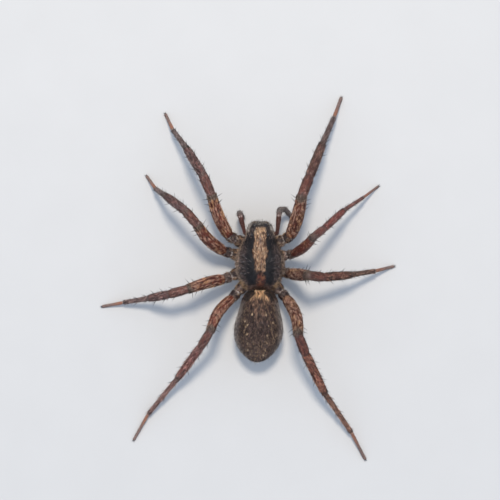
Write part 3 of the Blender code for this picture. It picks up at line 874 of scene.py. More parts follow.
def carapace_hair(zone):
    """The two colours of the carapace's hair."""
    tone = CARAPACE_TONE
    open_side = (1 - zone.margin) * zone.beside_band * (1 - zone.brow) * (1 - zone.corner)
    pale = layered(
        mix(tone.gold_rear, tone.gold_front, zone.front),
        (TONE.cream, ramp(zone.fine, 0.52, 0.74)),
        (tone.grey_hair, zone.grey_marks * 0.8),
        (mix(tone.margin_hair, tone.corner_hair, zone.corner), np.maximum(zone.margin, zone.corner)),
        (mix(tone.brow_hair, tone.brow_white, zone.fine), zone.brow),
        (mix(tone.side_hair, tone.ray_hair, zone.rays), open_side),
        (tone.red_hair, zone.red),
    )
    dark = layered(
        mix(tone.black, tone.black_fine, zone.fine),
        (tone.band_dark, zone.band),
        (tone.rear_dark, zone.rear),
        (tone.outer_dark, 0.6 * zone.outer),
        (tone.red_hair_dark, zone.red),
    )
    return pale, dark


def carapace_share(zone):
    """The share of pale hair. It is thicker on the left side, but on the right at the rear corners."""
    in_band = zone.band * ramp(zone.strokes, 0.40, 0.56)
    at_margin = zone.margin * (0.45 + 0.50 * zone.behind) * ramp(zone.grain, 0.30, 0.52)
    share = highest(
        in_band * (1 - 0.85 * zone.dark_marks) * (0.80 + 0.18 * zone.front),
        0.44 * zone.mottle * zone.beside_band,
        0.22 * zone.ahead * zone.beside_band,
        at_margin * (1 + 0.45 * zone.left),
    )
    share = highest(
        share * (1 - 0.15 * zone.left * zone.corner),
        0.82 * zone.corner * ramp(zone.grain, 0.32, 0.54) * (1 - 0.2 * zone.left),
        0.60 * zone.brow * (1 + 0.40 * zone.left),
        0.30 * zone.rear,
        0.7 * zone.rays,
    )
    return mix_number(share, 0.35 * ramp(zone.fine, 0.35, 0.65), zone.red)


def paint_carapace(spots, art):
    zone = carapace_zones(spots["place"])
    art["skin"] = carapace_skin(zone)
    art["pale"], art["dark"] = carapace_hair(zone)
    art["share"] = carapace_share(zone)
    art["cover"] = (0.80 + 0.20 * zone.band) * (1 - 0.50 * zone.red)
    art["gloss"] = 0.15 + 0.35 * zone.red


# Pale spots of the abdomen, as (x from its middle line, y, size).
ABDOMEN_SPOTS = (
    (1.10, 8.15, 0.20), (-1.10, 8.17, 0.21), (2.20, 9.25, 0.15), (-2.22, 9.45, 0.18), (1.72, 9.75, 0.17),
    (-1.55, 9.90, 0.19), (1.78, 11.25, 0.17), (-1.38, 11.45, 0.18), (-2.42, 11.8, 0.15),
    (1.70, 12.75, 0.18), (-1.38, 12.75, 0.13), (1.60, 13.75, 0.20), (-1.18, 13.85, 0.20),
    (1.18, 14.5, 0.16), (-0.90, 14.65, 0.22),
)
ABDOMEN_LEAN = 0.034  # of its middle line, to the left for each mm back


def abdomen_zones(spots):
    """The parts of the abdomen's pattern, each 0 to 1. The lighter flanks are partly a painted sheen."""
    place = spots["place"]
    y, z = place[:, 1], place[:, 2]
    x = place[:, 0] - 0.03 - ABDOMEN_LEAN * (y - 4.4)
    out = np.abs(x)
    edge = noise(place, (0.12, 0.34, 0.3), 6) - 0.5
    top = ramp(np.sin(spots["around"]), 0.25, 0.78)
    tip = (1 - ramp(out + edge * 0.5, 0.45, 0.75)) * (1 - ramp(y, 5.4, 5.8))
    # Two arms slope back and outward from the tip, over black shoulders, and fade back between them.
    arm_front = 4.15 + 1.06 * out
    fade = 0.60 + 1.0 * (1 - ramp(out, 0.2, 1.0))
    arms = ramp(y - arm_front, -0.10, 0.15) * (1 - ramp(y - arm_front - edge * 1.6, 0.25, fade))
    arms = arms * (1 - ramp(out, 1.35, 1.6))
    beside = ramp(out, 1.40, 1.65) * (1 - ramp(y - 0.35 * out + edge, 4.9, 5.5))
    shoulders = np.clip(ramp(arm_front - y, -0.05, 0.15) + beside, 0, 1) * ramp(out, 0.5, 0.8)
    middle = (1 - ramp(out, 1.2, 2.2)) * top
    marks = [(at, back, size * 0.52, size * 0.85) for at, back, size in ABDOMEN_SPOTS]
    return SimpleNamespace(
        cap=np.clip(np.maximum(tip, arms) * ramp(z, 5.2, 5.8), 0, 1),
        shoulders=shoulders * (1 - ramp(out + edge * 0.9, 1.95, 2.6)) * ramp(z, 5.5, 6.2),
        front=middle * (1 - ramp(y + 1.5 * edge, 6.6, 10.4)),
        middle=middle,
        marks=blots(x, y, marks) * top,
        # The flanks are lighter: partly their paler hair, partly a painted sheen of light grazing the sides
        # and bounced up from the floor.
        flank=(1 - top) * ramp(y, 5.4, 7.0),
        rear=ramp(y, 10.5, 14.0) * top,
        belly=1 - ramp(z, 2.6, 4.2),
    )


# The flank colours, and the whiter dots on the flanks, are partly a painted sheen.
ABDOMEN_TONE = palette(
    hide=(74, 58, 56), hide_dark=(52, 42, 42), line=(88, 66, 60), line_front=(128, 94, 74),
    flank=(128, 116, 111), rear=(96, 80, 74), shoulder=(50, 43, 41), cap_dark=(120, 84, 54),
    cap_light=(196, 148, 98), spot=(190, 164, 132), belly=(112, 96, 80),
    hair=(156, 126, 114), front_hair=(170, 132, 108), cap_hair=(244, 204, 160),
    flank_hair=(202, 192, 182), rear_hair=(186, 142, 104), dot_hair=(222, 180, 138),
    dot_white=(232, 220, 204), spot_hair=(244, 212, 172), black=(62, 48, 47), black_fine=(44, 36, 37),
    shoulder_dark=(54, 46, 43), flank_dark=(134, 123, 119), rear_dark=(88, 74, 72),
)


def paint_abdomen(spots, art):
    tone, zone = ABDOMEN_TONE, abdomen_zones(spots)
    place = spots["place"]
    fine, coarse = noise(place, 0.10, 7), noise(place, 0.5, 8)
    strokes = 0.6 * noise(place, (0.11, 0.50, 0.3), 9) + 0.4 * noise(place, (0.20, 1.0, 0.6), 19)
    dots = np.maximum(specks(place, 0.20, 0.068, 2), 0.75 * specks(place, 0.15, 0.052, 3))
    dots = dots * (1 - 0.70 * zone.middle * (1 - zone.rear)) * (1 - 0.7 * zone.shoulders)
    dots = dots * (1 - zone.cap)
    lines = ramp(strokes, 0.49, 0.58) * zone.middle
    # The flank layers lighten the sides, partly as painted sheen.
    art["skin"] = layered(
        mix(tone.hide, tone.hide_dark, coarse),
        (mix(tone.line, tone.line_front, zone.front), lines * 0.7),
        (tone.flank, zone.flank * 0.8),
        (tone.rear, zone.rear * 0.7),
        (tone.shoulder, zone.shoulders),
        (mix(tone.cap_dark, tone.cap_light, ramp(strokes, 0.35, 0.6)), zone.cap),
        (tone.spot, np.maximum(zone.marks, dots * 0.8)),
        (tone.belly, zone.belly),
    )
    art["pale"] = layered(
        mix(tone.hair, tone.front_hair, zone.front),
        (tone.cap_hair, zone.cap),
        (tone.flank_hair, zone.flank),
        (tone.rear_hair, zone.rear * 0.7),
        (mix(tone.dot_hair, tone.dot_white, zone.flank), dots),
        (tone.spot_hair, zone.marks),
    )
    art["dark"] = layered(
        mix(tone.black, tone.black_fine, fine),
        (tone.shoulder_dark, zone.shoulders),
        (tone.flank_dark, zone.flank * 0.85),
        (tone.rear_dark, zone.rear * 0.7),
    )
    share = highest(
        0.10 + (0.22 + 0.36 * zone.front) * lines + 0.12 * ramp(fine, 0.5, 0.8),
        0.92 * zone.cap * ramp(strokes, 0.30, 0.50),
        0.95 * zone.marks,
        0.90 * dots,
        0.62 * np.maximum(zone.flank * (0.65 + 0.7 * ramp(fine, 0.4, 0.6)), zone.belly),
    )
    art["share"] = share * (1 - 0.78 * zone.shoulders)
    art["gloss"] = np.full(len(place), 0.15)


STRIPE_ANGLES = (22, 48, 74, 97, 122, 148, 200, 340)  # round a leg, 90 being on top
STRIPE_WIDTH = 0.065
DARK_DOTS = (0.62, 0.13, 9)  # spacing, size and seed of the dots on the femur


def streaks(spots, length, width, seed):
    """Noise drawn out along a limb, with features of this length and width in mm."""
    turn, size = spots["around"], spots["half"] / width
    step = spots["reach"] / length + spots["limb"] * 7.3 + spots["segment"] * 3.1
    return noise(np.stack([step, np.cos(turn) * size, np.sin(turn) * size], 1), 1.0, seed)


def limb_trait(spots, name):
    values = [getattr(LEG_COATS.get(key, PALP_COAT), name) for key in LIMBS]
    return np.array(values)[spots["limb"].astype(int)]


def stripes(spots, angles, width, seed):
    """1 on thin broken lines that run along a limb at these angles, in degrees, each of this half width."""
    found = np.zeros(len(spots["around"]))
    step = np.stack([spots["reach"] / 1.1, spots["limb"] * 3.7, spots["segment"] * 5.3], 1)
    for k, angle in enumerate(angles):
        wander = 16 * (noise(step, 1.0, seed + k) - 0.5)
        off = (np.degrees(spots["around"]) - angle - wander + 180) % 360 - 180
        line = hump(np.radians(off) * spots["half"], 0, width)
        found = np.maximum(found, line * ramp(noise(step * (2.2, 1, 1), 1.0, seed + 40 + k), 0.25, 0.50))
    return found


LIMB_TONE = palette(
    bare=(148, 66, 44), bare_edge=(78, 34, 29), bare_joint=(46, 26, 25), bare_foot=(140, 92, 76),
    bare_foot_end=(112, 86, 78), membrane=(112, 88, 80), membrane_dark=(76, 58, 54),
)
RUST = (0.75, 0.42, 0.32)  # how much of each channel a rusty leg gains


def bare_shell(around, along, segment, vein):
    """The red-brown shell that shows on a nearly bare leg, dark along its edges and at its joints."""
    tone = LIMB_TONE
    side = 1 - ramp(np.sin(around), 0.2, 0.8)
    joint = np.maximum(1 - ramp(along, 0.02, 0.07), ramp(along, 0.90, 0.95))
    return layered(
        tone.bare,
        (tone.bare_edge, np.clip(0.8 * side + 0.6 * (vein - 0.4), 0, 1)),
        (tone.bare_joint, 0.85 * joint * (segment < TARSUS)),
        (mix(tone.bare_foot, tone.bare_foot_end, along), segment == TARSUS),
    )


def paint_limbs(spots, art):
    place, along, around = spots["place"], spots["along"], spots["around"]
    segment = spots["segment"].astype(int)
    hair = limb_trait(spots, "hair")
    is_leg = spots["region"] == LEG_REGION
    marks = dict(
        along=along,
        segment=segment,
        tan=limb_trait(spots, "tan"),
        grey=limb_trait(spots, "grey"),
        streak=0.38 * streaks(spots, 0.70, 0.14, 10) + 0.62 * streaks(spots, 0.30, 0.085, 11),
        vein=0.5 * streaks(spots, 1.3, 0.22, 12) + 0.5 * streaks(spots, 0.5, 0.11, 13),
        stripe=stripes(spots, STRIPE_ANGLES, STRIPE_WIDTH, 60),
        fine=noise(place, 0.14, 14),
        coarse=noise(place, 0.9, 15),
        blotch=ramp(0.6 * noise(place, 0.42, 16) + 0.4 * noise(place, 0.17, 17), 0.40, 0.60),
        dot=specks(place, *DARK_DOTS),
    )
    painters = (paint_coxa, paint_femur, paint_patella, paint_tibia, paint_metatarsus, paint_tarsus)
    parts = [(painter, is_leg & (segment == number)) for number, painter in enumerate(painters)]
    for painter, here in (*parts, (paint_palp, ~is_leg)):
        if here.any():
            for name, values in painter(SimpleNamespace(**chosen(marks, here))).items():
                art[name][here] = values

    bare = np.clip(1 - 2 * hair, 0, 1) * (segment >= FEMUR)
    furred_knee = 0.7 * (segment == FEMUR) * ramp(along, 0.86, 0.92)
    shell = bare_shell(around, along, segment, marks["vein"])
    art["skin"] = mix(art["skin"], shell, bare * (1 - furred_knee))
    art["gloss"] = np.maximum(art["gloss"], 0.9 * bare)
    # Some legs are redder and lighter beyond the knee.
    lighter = (limb_trait(spots, "rust") * is_leg * np.isin(segment, (TIBIA, METATARSUS)))[:, None]
    for name in ("skin", "pale", "dark"):
        art[name] = art[name] * (1 + lighter * RUST)
    # The soft ball in a joint is dull and bare, and the underside is a little darker.
    ball = along <= MEMBRANE
    membrane = mix(LIMB_TONE.membrane, LIMB_TONE.membrane_dark, marks["fine"])
    art["skin"] = mix(art["skin"], membrane, ball)
    art["skin"] = mix(art["skin"], art["skin"] * 0.8, 1 - ramp(np.sin(around), -0.6, 0.0))
    art["cover"] = np.where(ball, 0.1, art["cover"] * np.where(segment >= FEMUR, hair, 1.0))


# The coxa's ring is near white: a pale rim, flecked lighter as painted highlights.
COXA_TONE = palette(
    dark=(54, 41, 42), light=(150, 120, 104), trochanter=(48, 36, 38), ring=(236, 226, 220),
    hair=(192, 154, 116), grey_hair=(164, 144, 138), dark_hair=(58, 46, 45),
)


def paint_coxa(at):
    tone = COXA_TONE
    # The pale rings round the trochanter are flecked near white. The flecks are partly painted highlights.
    ring = np.maximum(hump(at.along, 0.69, 0.026), ramp(at.along, 0.955, 0.98))
    ring = ring * ramp(at.fine, 0.40, 0.55)
    trochanter = ramp(at.along, 0.70, 0.74)
    return dict(
        skin=layered(
            tone.dark, (tone.light, at.blotch), (tone.trochanter, 0.7 * trochanter), (tone.ring, ring)
        ),
        pale=layered(
            tone.hair, (tone.grey_hair, ramp(at.coarse, 0.4, 0.6)), (TONE.cream, ramp(at.fine, 0.60, 0.80))
        ),
        dark=tone.dark_hair,
        share=(0.06 + 0.74 * at.blotch) * (1 - 0.4 * trochanter),
        cover=(0.85 - 0.3 * trochanter) * (1 - 0.95 * ring),
        gloss=0.4 + 0.3 * ring,
    )


FEMUR_TONE = palette(
    grey_skin=(78, 62, 54), line=(176, 128, 102), stripe=(74, 32, 28), grey_stripe=(54, 40, 38),
    dot=(34, 24, 24), knee_dark=(72, 56, 50), knee_light=(120, 100, 86), ends=(58, 44, 42),
    grey_hair=(174, 148, 134), knee_hair=(150, 132, 118), dark_hair=(82, 44, 37),
    knee_dark_hair=(74, 58, 53),
)


def paint_femur(at):
    tone = FEMUR_TONE
    line_from = 0.57 - 0.22 * at.tan
    line = ramp(at.streak, line_from, 0.63 - 0.22 * at.tan) * (1 - 0.95 * at.stripe) * (1 - at.dot)
    knee = ramp(at.along + 0.08 * (at.fine - 0.5), 0.905, 0.94)
    base = 1 - ramp(at.along + 0.04 * (at.fine - 0.5), 0.02, 0.05)
    skin = layered(
        TONE.red_skin,
        (TONE.dark_red, ramp(at.vein, 0.40, 0.60)),
        (tone.grey_skin, at.grey * 0.8),
        (tone.line, line * 0.55),
        (mix(tone.stripe, tone.grey_stripe, at.grey), at.stripe * 0.9),
        (tone.dot, at.dot * 0.9),
        (mix(tone.knee_dark, tone.knee_light, ramp(at.fine, 0.42, 0.60)), knee),
        (tone.ends, np.maximum(base, 0.7 * ramp(at.along, 0.97, 0.985))),
    )
    greyer = ramp(at.grey, 0.15, 0.3)
    pale = layered(
        TONE.gold,
        (TONE.rose_tan, ramp(at.coarse, 0.25, 0.55)),
        (TONE.cream, ramp(at.fine, 0.68, 0.9) * 0.8),
        (tone.grey_hair, at.grey * 0.8),
        (tone.knee_hair * (1 - 0.18 * greyer)[:, None], knee),
    )
    share = mix_number(0.03 + 0.93 * line, 0.24 + 0.45 * line, 0.45 * greyer)
    share = mix_number(share, 0.22 + 0.60 * ramp(at.fine, 0.42, 0.62), knee) * (1 - 0.6 * base)
    ends = np.maximum(knee, base)
    cover = mix_number((0.45 + 0.75 * line + 0.4 * at.grey) * (1 - 0.6 * at.stripe), 0.8, ends)
    dark = mix(tone.dark_hair, tone.knee_dark_hair, ends)
    cover = cover * (1 - 0.9 * at.dot)
    return dict(skin=skin, pale=pale, dark=dark, share=share, cover=cover, gloss=0.6 - 0.3 * knee)


def veined(at, tone, vein, stripe, *layers, brown_from=0.15, brown_tint):
    """Skin with veins, stripes and more layers, its pale hair, and how brown both are on a greyer leg."""
    brown = ramp(at.grey, brown_from, brown_from + 0.15)
    skin = layered(tone.skin, (tone.vein, ramp(at.vein, *vein)), (tone.stripe, at.stripe * stripe), *layers)
    skin = mix(skin, skin * brown_tint, brown)
    return skin, layered(tone.hair, (tone.grey_hair, at.coarse), (tone.brown_hair, brown)), brown


PATELLA_TONE = palette(
    skin=(132, 76, 64), vein=(84, 48, 43), stripe=(60, 36, 34), ends=(62, 44, 42), ring=(204, 174, 166),
    hair=(184, 150, 134), grey_hair=(170, 146, 138), brown_hair=(176, 128, 108),
)


def paint_patella(at):
    tone = PATELLA_TONE
    ends = (tone.ends, 0.7 * np.maximum(ramp(at.along, 0.93, 0.98), 1 - ramp(at.along, 0.01, 0.04)))
    ring = (tone.ring, 0.6 * hump(at.along, 0.12, 0.05) * ramp(at.coarse, 0.5, 0.7))
    skin, pale, brown = veined(at, tone, (0.35, 0.65), 0.7, ends, ring, brown_tint=(1.08, 0.88, 0.84))
    share = (0.12 + 0.5 * ramp(at.streak, 0.42, 0.60)) * (1 - 0.35 * brown)
    return dict(skin=skin, pale=pale, share=share, cover=0.8 * (1 - 0.4 * at.stripe), gloss=0.65)


TIBIA_TONE = palette(
    skin=(128, 82, 76), vein=(84, 56, 55), stripe=(54, 36, 37), end=(54, 44, 42),
    hair=(186, 156, 146), grey_hair=(170, 152, 150), brown_hair=(178, 144, 122),
)


def paint_tibia(at):
    tone = TIBIA_TONE
    end = (tone.end, ramp(at.along, 0.90, 0.94))
    joint = (TONE.joint_pale, ramp(at.along, 0.985, 1.0) * 0.6)
    skin, pale, brown = veined(at, tone, (0.38, 0.62), 0.8, end, joint, brown_tint=(1.0, 0.84, 0.76))
    share = 0.62 * ramp(at.streak, 0.42, 0.58) * (1 - ramp(at.along, 0.88, 0.93)) * (1 - at.stripe)
    share = (0.12 + share) * (1 - 0.25 * brown)
    return dict(skin=skin, pale=pale, share=share, cover=0.85 * (1 - 0.4 * at.stripe), gloss=0.45)


METATARSUS_TONE = palette(
    skin=(118, 92, 84), vein=(84, 66, 62), stripe=(54, 42, 41), ends=(58, 48, 46), ring=(206, 186, 172),
    hair=(180, 158, 152), grey_hair=(168, 154, 152), brown_hair=(168, 142, 124),
)


def paint_metatarsus(at):
    tone, ring = METATARSUS_TONE, ramp(at.along, 0.972, 0.985)
    ends = (tone.ends, np.maximum(ramp(at.along, 0.90, 0.94), 1 - ramp(at.along, 0.03, 0.08)))
    tint = dict(brown_from=0.30, brown_tint=(0.95, 0.84, 0.78))
    skin, pale, _ = veined(at, tone, (0.38, 0.62), 0.6, ends, (tone.ring, ring), **tint)
    share = 0.20 + 0.55 * ramp(at.streak, 0.43, 0.57) * (1 - ramp(at.along, 0.90, 0.95))
    return dict(skin=skin, pale=pale, share=share, cover=0.95 * (1 - 0.8 * ring), gloss=0.4)


TARSUS_TONE = palette(
    near=(158, 104, 80), far=(126, 100, 92), near_hair=(190, 146, 124), far_hair=(174, 152, 144),
    near_dark=(116, 80, 66), far_dark=(96, 78, 72),
)


def paint_tarsus(at):
    tone, far = TARSUS_TONE, ramp(at.along, 0.10, 0.60)
    skin, pale = mix(tone.near, tone.far, far), mix(tone.near_hair, tone.far_hair, far)
    dark = mix(tone.near_dark, tone.far_dark, far)
    return dict(skin=skin, pale=pale, dark=dark, share=0.45 + 0.2 * at.fine, cover=0.85, gloss=0.35)


PALP_TONE = palette(
    red=(114, 72, 64), red_dark=(72, 46, 43), grey=(116, 102, 98), grey_dark=(76, 64, 61),
    ring=(200, 178, 168), red_hair=(178, 142, 128), grey_hair=(172, 160, 154),
    red_dark_hair=(84, 46, 42), grey_dark_hair=(66, 54, 52),
)


def paint_palp(at):
    """A feeler is reddish as far as its knee, and grey and furry beyond it."""
    tone = PALP_TONE
    beyond = at.segment >= PATELLA
    core = ramp(at.vein, 0.40, 0.60)
    ring = ramp(at.along, 0.955, 0.975) * (at.segment < TIBIA) * (at.segment > COXA)
    skin = layered(
        mix(tone.red, tone.red_dark, core),
        (mix(tone.grey, tone.grey_dark, at.fine), beyond),
        (tone.ring, ring * 0.9),
    )
    pale = mix(tone.red_hair, tone.grey_hair, beyond)
    dark = mix(tone.red_dark_hair, tone.grey_dark_hair, beyond)
    share = np.where(beyond, 0.25 + 0.5 * ramp(at.fine, 0.4, 0.6), 0.10 + 0.3 * core)
    cover, gloss = np.where(beyond, 1.0, 0.75) * (1 - 0.8 * ring), np.where(beyond, 0.3, 0.6)
    return dict(skin=skin, pale=pale, dark=dark, share=share, cover=cover, gloss=gloss)


UNDERSIDE_TONE = palette(light=(70, 48, 38), dark=(48, 36, 32), tail=(120, 96, 76), tip=(228, 222, 214))


def paint_underside(spots, art):
    tone, place = UNDERSIDE_TONE, spots["place"]
    is_tail = spots["region"] != STERNUM_REGION
    # The ends of the spinnerets are nearly white.
    tip = (spots["region"] == TAIL_REGION) * (spots["segment"] == 0) * ramp(spots["along"], 0.70, 0.90)
    fine = noise(place, 0.3, 13)
    art["skin"] = layered(mix(tone.light, tone.dark, fine), (tone.tail, is_tail * 0.6), (tone.tip, tip))
    art["pale"] = np.tile(TONE.grey_hair, (len(place), 1))
    art["share"] = np.full(len(place), 0.45)
    art["cover"] = np.where(spots["segment"] == 2, 0.2, 0.7) * (1 - tip)
    art["gloss"] = np.full(len(place), 0.35)


def chosen(spots, index):
    return {name: values[index] for name, values in spots.items()}


def paint(spots):
    """Markings for a table of places on the body."""
    art = canvas(len(spots["place"]))
    regions = (
        (paint_carapace, (CARAPACE_REGION,)),
        (paint_abdomen, (ABDOMEN_REGION,)),
        (paint_limbs, (LEG_REGION, PALP_REGION)),
        (paint_underside, (STERNUM_REGION, TAIL_REGION)),
    )
    for painter, numbers in regions:
        here = np.isin(spots["region"], numbers)
        if here.any():
            part = canvas(here.sum())
            painter(chosen(spots, here), part)
            for name, values in part.items():
                art[name][here] = values
    return art


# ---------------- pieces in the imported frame


def make_object(name, points, faces, material, slot, tint=None, gloss=None, uv=None):
    """A piece from points in mm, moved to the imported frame, riding on the body."""
    mesh = new_mesh(name, (np.asarray(points) + SHIFT) * MM, faces)
    if tint is not None:
        colours = mesh.attributes.new("tint", "FLOAT_COLOR", "POINT")
        values = np.column_stack([tint, np.ones(len(tint))])
        colours.data.foreach_set("color", values.astype(np.float32).ravel())
    if gloss is not None:
        shine = mesh.attributes.new("gloss", "FLOAT", "POINT")
        shine.data.foreach_set("value", np.asarray(gloss, np.float32))
    if uv is not None:
        layer = mesh.uv_layers.new(name="OFBake")
        layer.uv.foreach_set("vector", np.asarray(uv, np.float32)[np.asarray(faces).ravel()].ravel())
    mesh.materials.append(material)
    piece = placed(name, mesh)
    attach(piece, "root")
    return piece


class Shader:
    """A Principled material and short ways to add nodes to it."""

    def __init__(self, name, constants):
        self.material = bpy.data.materials.new(name)
        self.material.use_nodes = True
        self.tree = self.material.node_tree
        self.main = self.tree.nodes["Principled BSDF"]
        for socket, value in constants.items():
            self.main.inputs[socket].default_value = value

    def node(self, kind, values=(), **settings):
        made = self.tree.nodes.new(kind)
        for name, value in settings.items():
            setattr(made, name, value)
        for name, value in dict(values).items():
            if isinstance(value, bpy.types.NodeSocket):
                self.tree.links.new(value, made.inputs[name])
            else:
                made.inputs[name].default_value = value
        return made

    def attribute(self, name, output):
        return self.node("ShaderNodeAttribute", attribute_name=name).outputs[output]

    def place(self):
        return self.node("ShaderNodeTexCoord").outputs["Object"]

    def noise(self, size, detail=2.0):
        """Noise with features of about this size in mm."""
        values = {"Vector": self.place(), "Scale": 1 / (size * MM), "Detail": detail}
        return self.node("ShaderNodeTexNoise", values).outputs["Fac"]

    def span(self, value, low, high):
        """Noise spread over a range of values."""
        values = {"Value": value, "From Min": 0.25, "From Max": 0.75, "To Min": low, "To Max": high}
        return self.node("ShaderNodeMapRange", values).outputs["Result"]

    def add(self, a, b):
        return self.node("ShaderNodeMath", {0: a, 1: b}, operation="ADD").outputs["Value"]

    def tinted(self, strength):
        """The painted colour made lighter or darker by a number."""
        values = {0: self.attribute("tint", "Color"), 1: strength}
        return self.node("ShaderNodeVectorMath", values, operation="MULTIPLY").outputs["Vector"]

    def mottled(self, size, detail, first, second):
        """Two colours in patches of about this size in mm."""
        share = self.span(self.noise(size, detail), 0.0, 1.0)
        values = {"Factor": share, "A": (*first, 1), "B": (*second, 1)}
        return self.node("ShaderNodeMix", values, data_type="RGBA").outputs["Result"]

    def use(self, name, value):
        self.tree.links.new(value, self.main.inputs[name])

    def bump(self, height, depth, strength):
        values = {"Height": height, "Distance": depth * MM, "Strength": strength}
        self.use("Normal", self.node("ShaderNodeBump", values).outputs["Normal"])


PORE_SIZE, PORE_DEPTH = 0.09, 0.012


def hide_material():
    shader = Shader("spider_hide", {"Roughness": 0.5, "Specular IOR Level": 0.38})
    grain = shader.noise(0.10, 3.0)
    shader.use("Base Color", shader.tinted(shader.span(grain, 0.78, 1.22)))
    gloss = {"Value": shader.attribute("gloss", "Fac"), "To Min": 0.70, "To Max": 0.26}
    rough = shader.node("ShaderNodeMapRange", gloss).outputs["Result"]
    shader.use("Roughness", shader.add(rough, shader.span(shader.noise(0.25), -0.06, 0.08)))
    pores = shader.node("ShaderNodeTexVoronoi", {"Vector": shader.place(), "Scale": 1 / (PORE_SIZE * MM)})
    shader.bump(shader.add(pores.outputs["Distance"], grain), PORE_DEPTH, 0.8)
    return shader.material


def coat_material():
    shader = Shader("spider_coat", {"Roughness": 0.48, "Specular IOR Level": 0.25})
    shader.use("Base Color", shader.tinted(shader.span(shader.noise(0.06), 0.84, 1.16)))
    return shader.material


def horn_material(name, dark, light, roughness, size):
    """Hard dark cuticle: jaws, fangs, claws and spines."""
    shader = Shader(name, {"Roughness": roughness, "Coat Weight": 0.35, "Coat Roughness": 0.18})
    shader.use("Base Color", shader.mottled(size, 3.0, dark, light))
    shader.use("Roughness", shader.span(shader.noise(size * 0.5), roughness * 0.8, roughness * 1.3))
    shader.bump(shader.noise(size * 0.2, 3.0), 0.006, 0.6)
    return shader.material


def eye_material():
    constants = {"Roughness": 0.10, "Coat Weight": 0.5, "Coat Roughness": 0.03}
    shader = Shader("spider_eye", {**constants, "Specular IOR Level": 0.35, "IOR": 1.5})
    shader.use("Base Color", shader.mottled(0.12, 2.0, (0.004, 0.004, 0.006), (0.020, 0.013, 0.010)))
    shader.use("Roughness", shader.span(shader.noise(0.2), 0.06, 0.14))
    return shader.material


def build_skin(material):
    """The skin, for every solid of flesh. Returns what each of its points is, and its triangles."""
    for key in LIMBS:
        limb_shells(key)
    carapace_shells()
    abdomen_shell()
    trunk_shells()
    points, normals, faces = union_of_shells()
    spots = describe(points)
    spots["place"], spots["normal"] = points, normals
    art = paint(spots)
    under = mix(art["dark"], art["pale"], art["share"])
    tint = mix(art["skin"], under, 0.25 * np.clip(art["cover"], 0, 1))
    single = without_doubles(faces)
    skin = make_object("skin", points, single, material, "hide", tint=tint, gloss=art["gloss"])
    flesh = [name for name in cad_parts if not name.startswith(("eye_", "fang_", "chelicera_"))]
    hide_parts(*flesh)
    return spots, faces


# ---------------- coat

# Hairs to each square mm and their lengths: for each segment of a leg and of a feeler, then for the
# carapace, the abdomen, the underside and the tail.
PILE_DENSITY = ((150, 185, 150, 180, 220, 240), (120, 190, 220, 230, 250), 240, 300, 60, 110)
PILE_LENGTH = ((0.36, 0.40, 0.28, 0.32, 0.25, 0.17), (0.22, 0.24, 0.20, 0.20, 0.17), 0.28, 0.32, 0.26, 0.18)
GUARD_DENSITY = ((16, 7, 7, 12, 20, 14), (7, 10, 18, 22, 22), 3.5, 10, 5, 8)
GUARD_LENGTH = ((0.55, 0.46, 0.42, 0.55, 0.50, 0.28), (0.35, 0.35, 0.42, 0.42, 0.38), 0.46, 0.44, 0.4, 0.32)
BRISTLE_DENSITY = ((3.0, 0.9, 1.2, 2.4, 2.6, 1.0), (1.0, 1.6, 4.0, 5.0, 6.0), 0.5, 1.6, 1.5, 3.0)
BRISTLE_LENGTH = ((0.70, 0.75, 0.65, 0.80, 0.62, 0.40), (0.5, 0.5, 0.6, 0.65, 0.6), 0.70, 0.70, 0.6, 0.45)
HIND_DENSITY, HIND_LENGTH = 1.4, 1.25  # of guard hairs beyond a hind knee, against the other legs
# Guard hairs added to each square mm at the carapace's fringe, over its brow, in the parting between the
# large eyes, at the neck and at the lip under the brow.
EDGE_DENSITY = (60, 14, 110, 170, 90)
STRAND_CORNERS = [math.radians(angle) for angle in (90, 210, 330)]
STRAND_FLOOR = 0.006  # height of the lowest point of a hair
PATCH = 0.003  # of a strand on the unwrap
UNWRAP_EDGE, UNWRAP_SIZE = 0.02, 0.955


def scatter(spots, faces, density):
    """Random roots on the skin, density of them to each square mm at each point, as a table of places."""
    a, b, c = spots["place"][faces].transpose(1, 0, 2)
    area = 0.5 * np.linalg.norm(np.cross(b - a, c - a), axis=1)
    count = RNG.poisson(area * density[faces].mean(1))
    face = np.repeat(np.arange(len(faces)), count)
    weights = RNG.dirichlet((1, 1, 1), len(face))
    roots = chosen(spots, faces[face, weights.argmax(1)])
    for name in ("place", "normal", "lie"):
        roots[name] = (spots[name][faces[face]] * weights[..., None]).sum(1)
    roots["normal"] = unit(roots["normal"])
    return roots


def strand_faces(rows):
    """Triangles of one three-sided strand, closed at its root and drawn to a point."""
    faces = [(2, 1, 0)]
    for k in range(rows - 1):
        for a in range(3):
            b = (a + 1) % 3
            faces += [(3 * k + a, 3 * k + b, 3 * k + 3 + b), (3 * k + a, 3 * k + 3 + b, 3 * k + 3 + a)]
    tip = 3 * rows
    return np.array(faces + [(tip - 3 + a, tip - 3 + (a + 1) % 3, tip) for a in range(3)])


